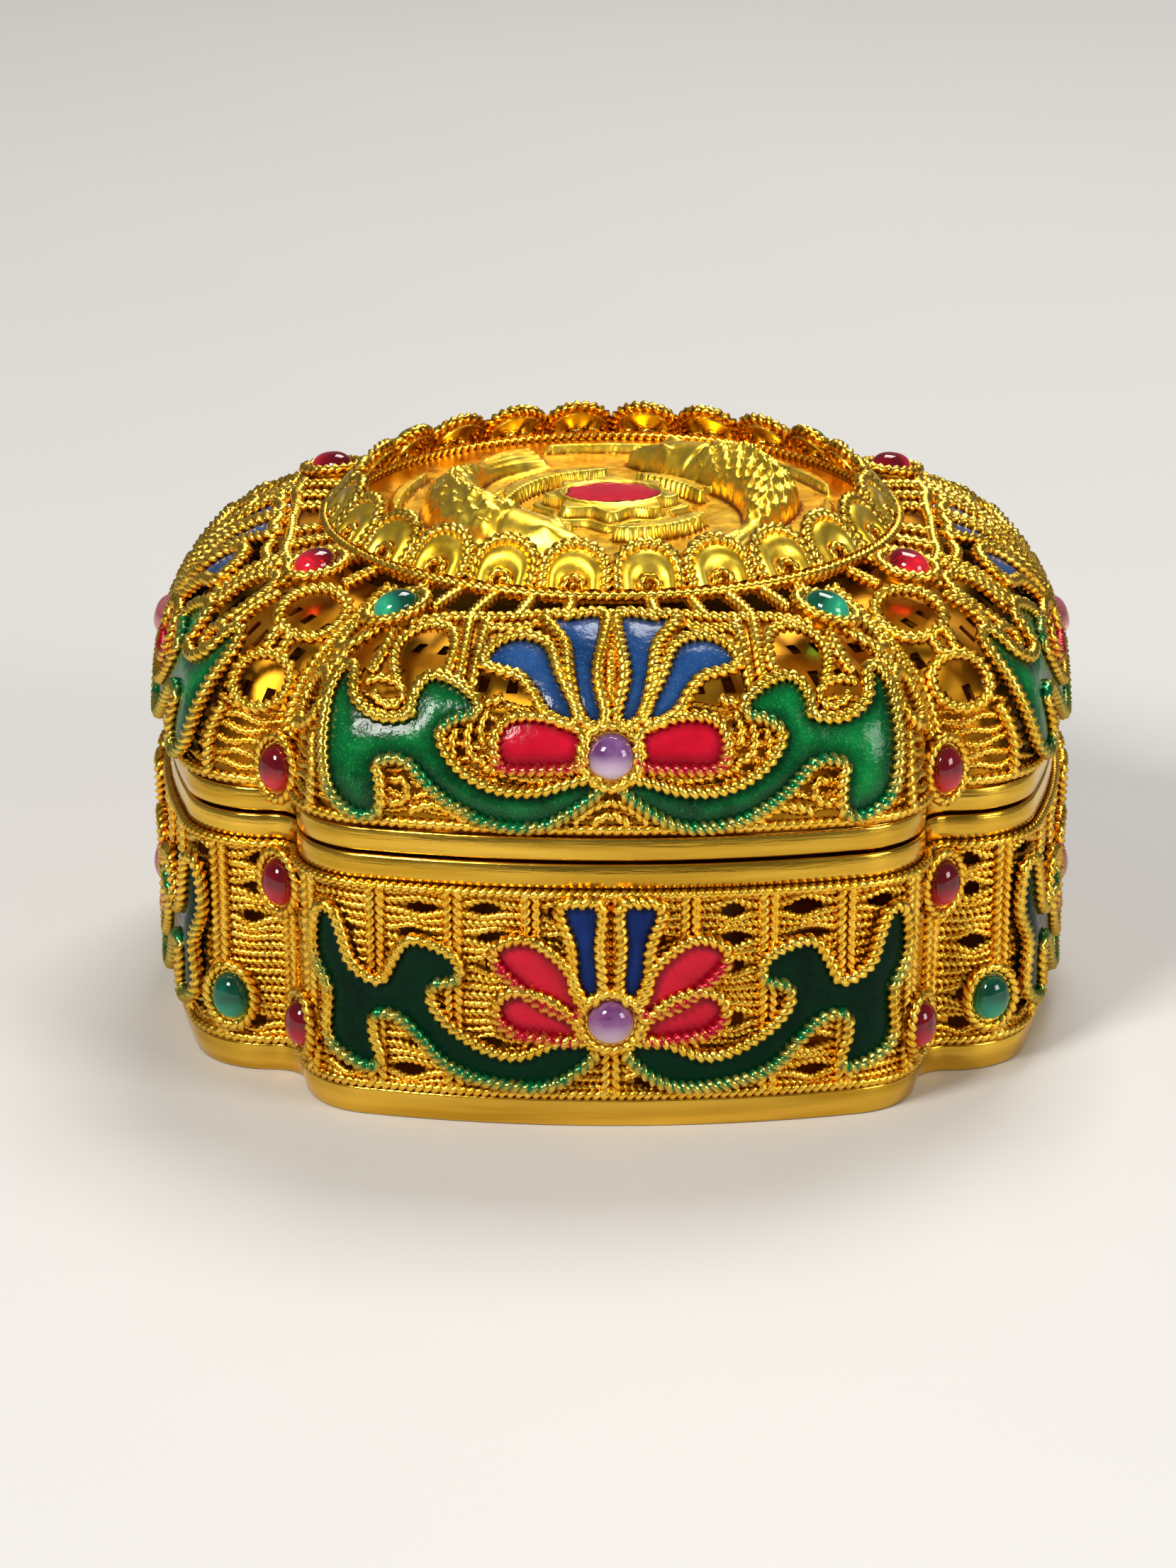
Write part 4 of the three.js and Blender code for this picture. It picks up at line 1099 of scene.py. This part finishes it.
def medallion():
    """The cast plate with its relief."""
    shape = Shape()
    radius, angle = np.meshgrid(np.linspace(PLATE_RADIUS, 0.02, 128), turns_of(384), indexing="ij")
    x, y = radius * np.cos(angle), radius * np.sin(angle)
    petals = FLOWER_RADIUS + PETAL_DEPTH * np.cos(FLOWER_PETALS * angle)
    flower = FLOWER_HEIGHT * (1 - smooth_step(petals - 0.3, petals, radius))
    flower = np.maximum(flower, 0.5 * (1 - smooth_step(petals + 0.5, petals + 0.8, radius)))
    lip = LIP_HEIGHT * np.exp(-((np.hypot(x / LIP_HALF[0], y / LIP_HALF[1]) - 1) / 0.05) ** 2)
    height = np.maximum.reduce([crest_height(radius, angle), carp_height(radius, angle), flower + lip])
    # Painted light and shade: the relief is paler on its tops and crests and darker in its grooves.
    around = sum(np.roll(height, shift, axis) for shift in (-2, 2) for axis in (0, 1)) / 4
    tones = np.clip(0.5 + 0.4 * height + 2.4 * (height - around), 0, 1)
    shape.add_grid(np.stack([x, y, PLATE_TOP + height], -1), tones, closed=True)
    rim = [(0.02, PLATE_BOTTOM), (17.0, PLATE_BOTTOM), (19.2, PLATE_BOTTOM), (19.35, 32.4),
           (19.3, PLATE_TOP), (PLATE_RADIUS, PLATE_TOP)]
    shape.add_grid(np.stack([ring_at(r, z, 192) for r, z in rim]), 0.8, closed=True)
    return shape


def medallion_enamel():
    """The red plaque on top of the flower, with a wavy edge."""
    shape = Shape()
    turns = turns_of(72)
    shares = np.linspace(1.0, 0.02, 10)
    wavy = 1 + 0.05 * np.cos(7 * turns) + 0.05 * np.cos(3 * turns + 1)
    x, y = PLAQUE_HALF[0] * wavy * np.cos(turns), PLAQUE_HALF[1] * wavy * np.sin(turns)
    rows = []
    for share in shares:
        z = PLATE_TOP + FLOWER_HEIGHT + PLAQUE_LIFT + PLAQUE_CROWN * (1 - share ** 2)
        rows.append(np.stack([x * share, y * share, 0 * turns + z], -1))
    # Painted shade near the plaque's edge: the tone is low there.
    shape.add_grid(np.stack(rows), np.repeat(np.clip((1 - shares) * 3, 0, 1), len(turns)), closed=True)
    return shape


place(medallion(), "medallion_cast", CAST_GOLD, ["medallion"])
place(medallion_enamel(), "medallion_red", RED, ["medallion_enamel"])


def pale_floor():
    material, tree, shader, where = nodes_of("pale_floor")
    tint = ramp(tree, noise(tree, where, 3.0), (0.3, (0.52, 0.51, 0.49)), (0.7, (0.57, 0.56, 0.54)))
    feed(tree, shader, {"Base Color": tint, "Roughness": 0.6})
    mesh = bpy.data.meshes.new("floor")
    half = 2.0
    corners = [(-half, -half, 0), (half, -half, 0), (half, half, 0), (-half, half, 0)]
    mesh.from_pydata(corners, [], [(0, 1, 2, 3)])
    mesh.materials.append(material)
    floor = linked("floor", mesh)


def soft_light(name, place_at, aim, size, power, colour):
    light = bpy.data.lights.new(name, "AREA")
    light.shape, light.size, light.energy, light.color = "SQUARE", size, power, colour
    lamp = linked(name, light)
    lamp.location = place_at
    lamp.rotation_euler = (Vector(aim) - Vector(place_at)).to_track_quat("-Z", "Y").to_euler()


pale_floor()
soft_light("key", (-0.30, -0.42, 0.46), (0, 0, 0.02), 0.18, 4.4, (1.0, 0.97, 0.92))
soft_light("fill", (0.46, -0.34, 0.26), (0, 0, 0.02), 0.24, 2.0, (1.0, 0.98, 0.96))
soft_light("top", (0.08, 0.30, 0.5), (0, 0, 0.03), 0.25, 2.4, (1.0, 0.98, 0.95))
world = bpy.data.worlds.new("studio")
world.use_nodes = True
sky = world.node_tree.nodes["Background"].inputs
sky["Color"].default_value = (0.88, 0.9, 0.94, 1)
sky["Strength"].default_value = 0.2
bpy.context.scene.world = world
bpy.context.scene.view_settings.view_transform = "Standard"

# The camera looks down at the front lobe; the object's foot is below the middle of the picture.
IMAGE_WIDTH, IMAGE_HEIGHT = 1659, 2212
FOCAL_PIXELS = 8120.0
CAMERA_DISTANCE = 0.4
CAMERA_ELEVATION = math.radians(20.8)
FOOT_PIXEL = (864.0, 1359.4)
SENSOR = 36.0
pitch_up = math.atan((FOOT_PIXEL[1] - IMAGE_HEIGHT / 2) / FOCAL_PIXELS)
yaw = math.atan((FOOT_PIXEL[0] - IMAGE_WIDTH / 2) / FOCAL_PIXELS)
lens = bpy.data.cameras.new("camera")
lens.sensor_width = SENSOR
lens.lens = FOCAL_PIXELS / IMAGE_HEIGHT * SENSOR
lens.clip_start = 0.01
camera = linked("camera", lens)
camera.location = (0, -CAMERA_DISTANCE * math.cos(CAMERA_ELEVATION),
                   CAMERA_DISTANCE * math.sin(CAMERA_ELEVATION))
camera.rotation_euler = (math.pi / 2 - CAMERA_ELEVATION + pitch_up, 0, yaw)
bpy.context.scene.camera = camera
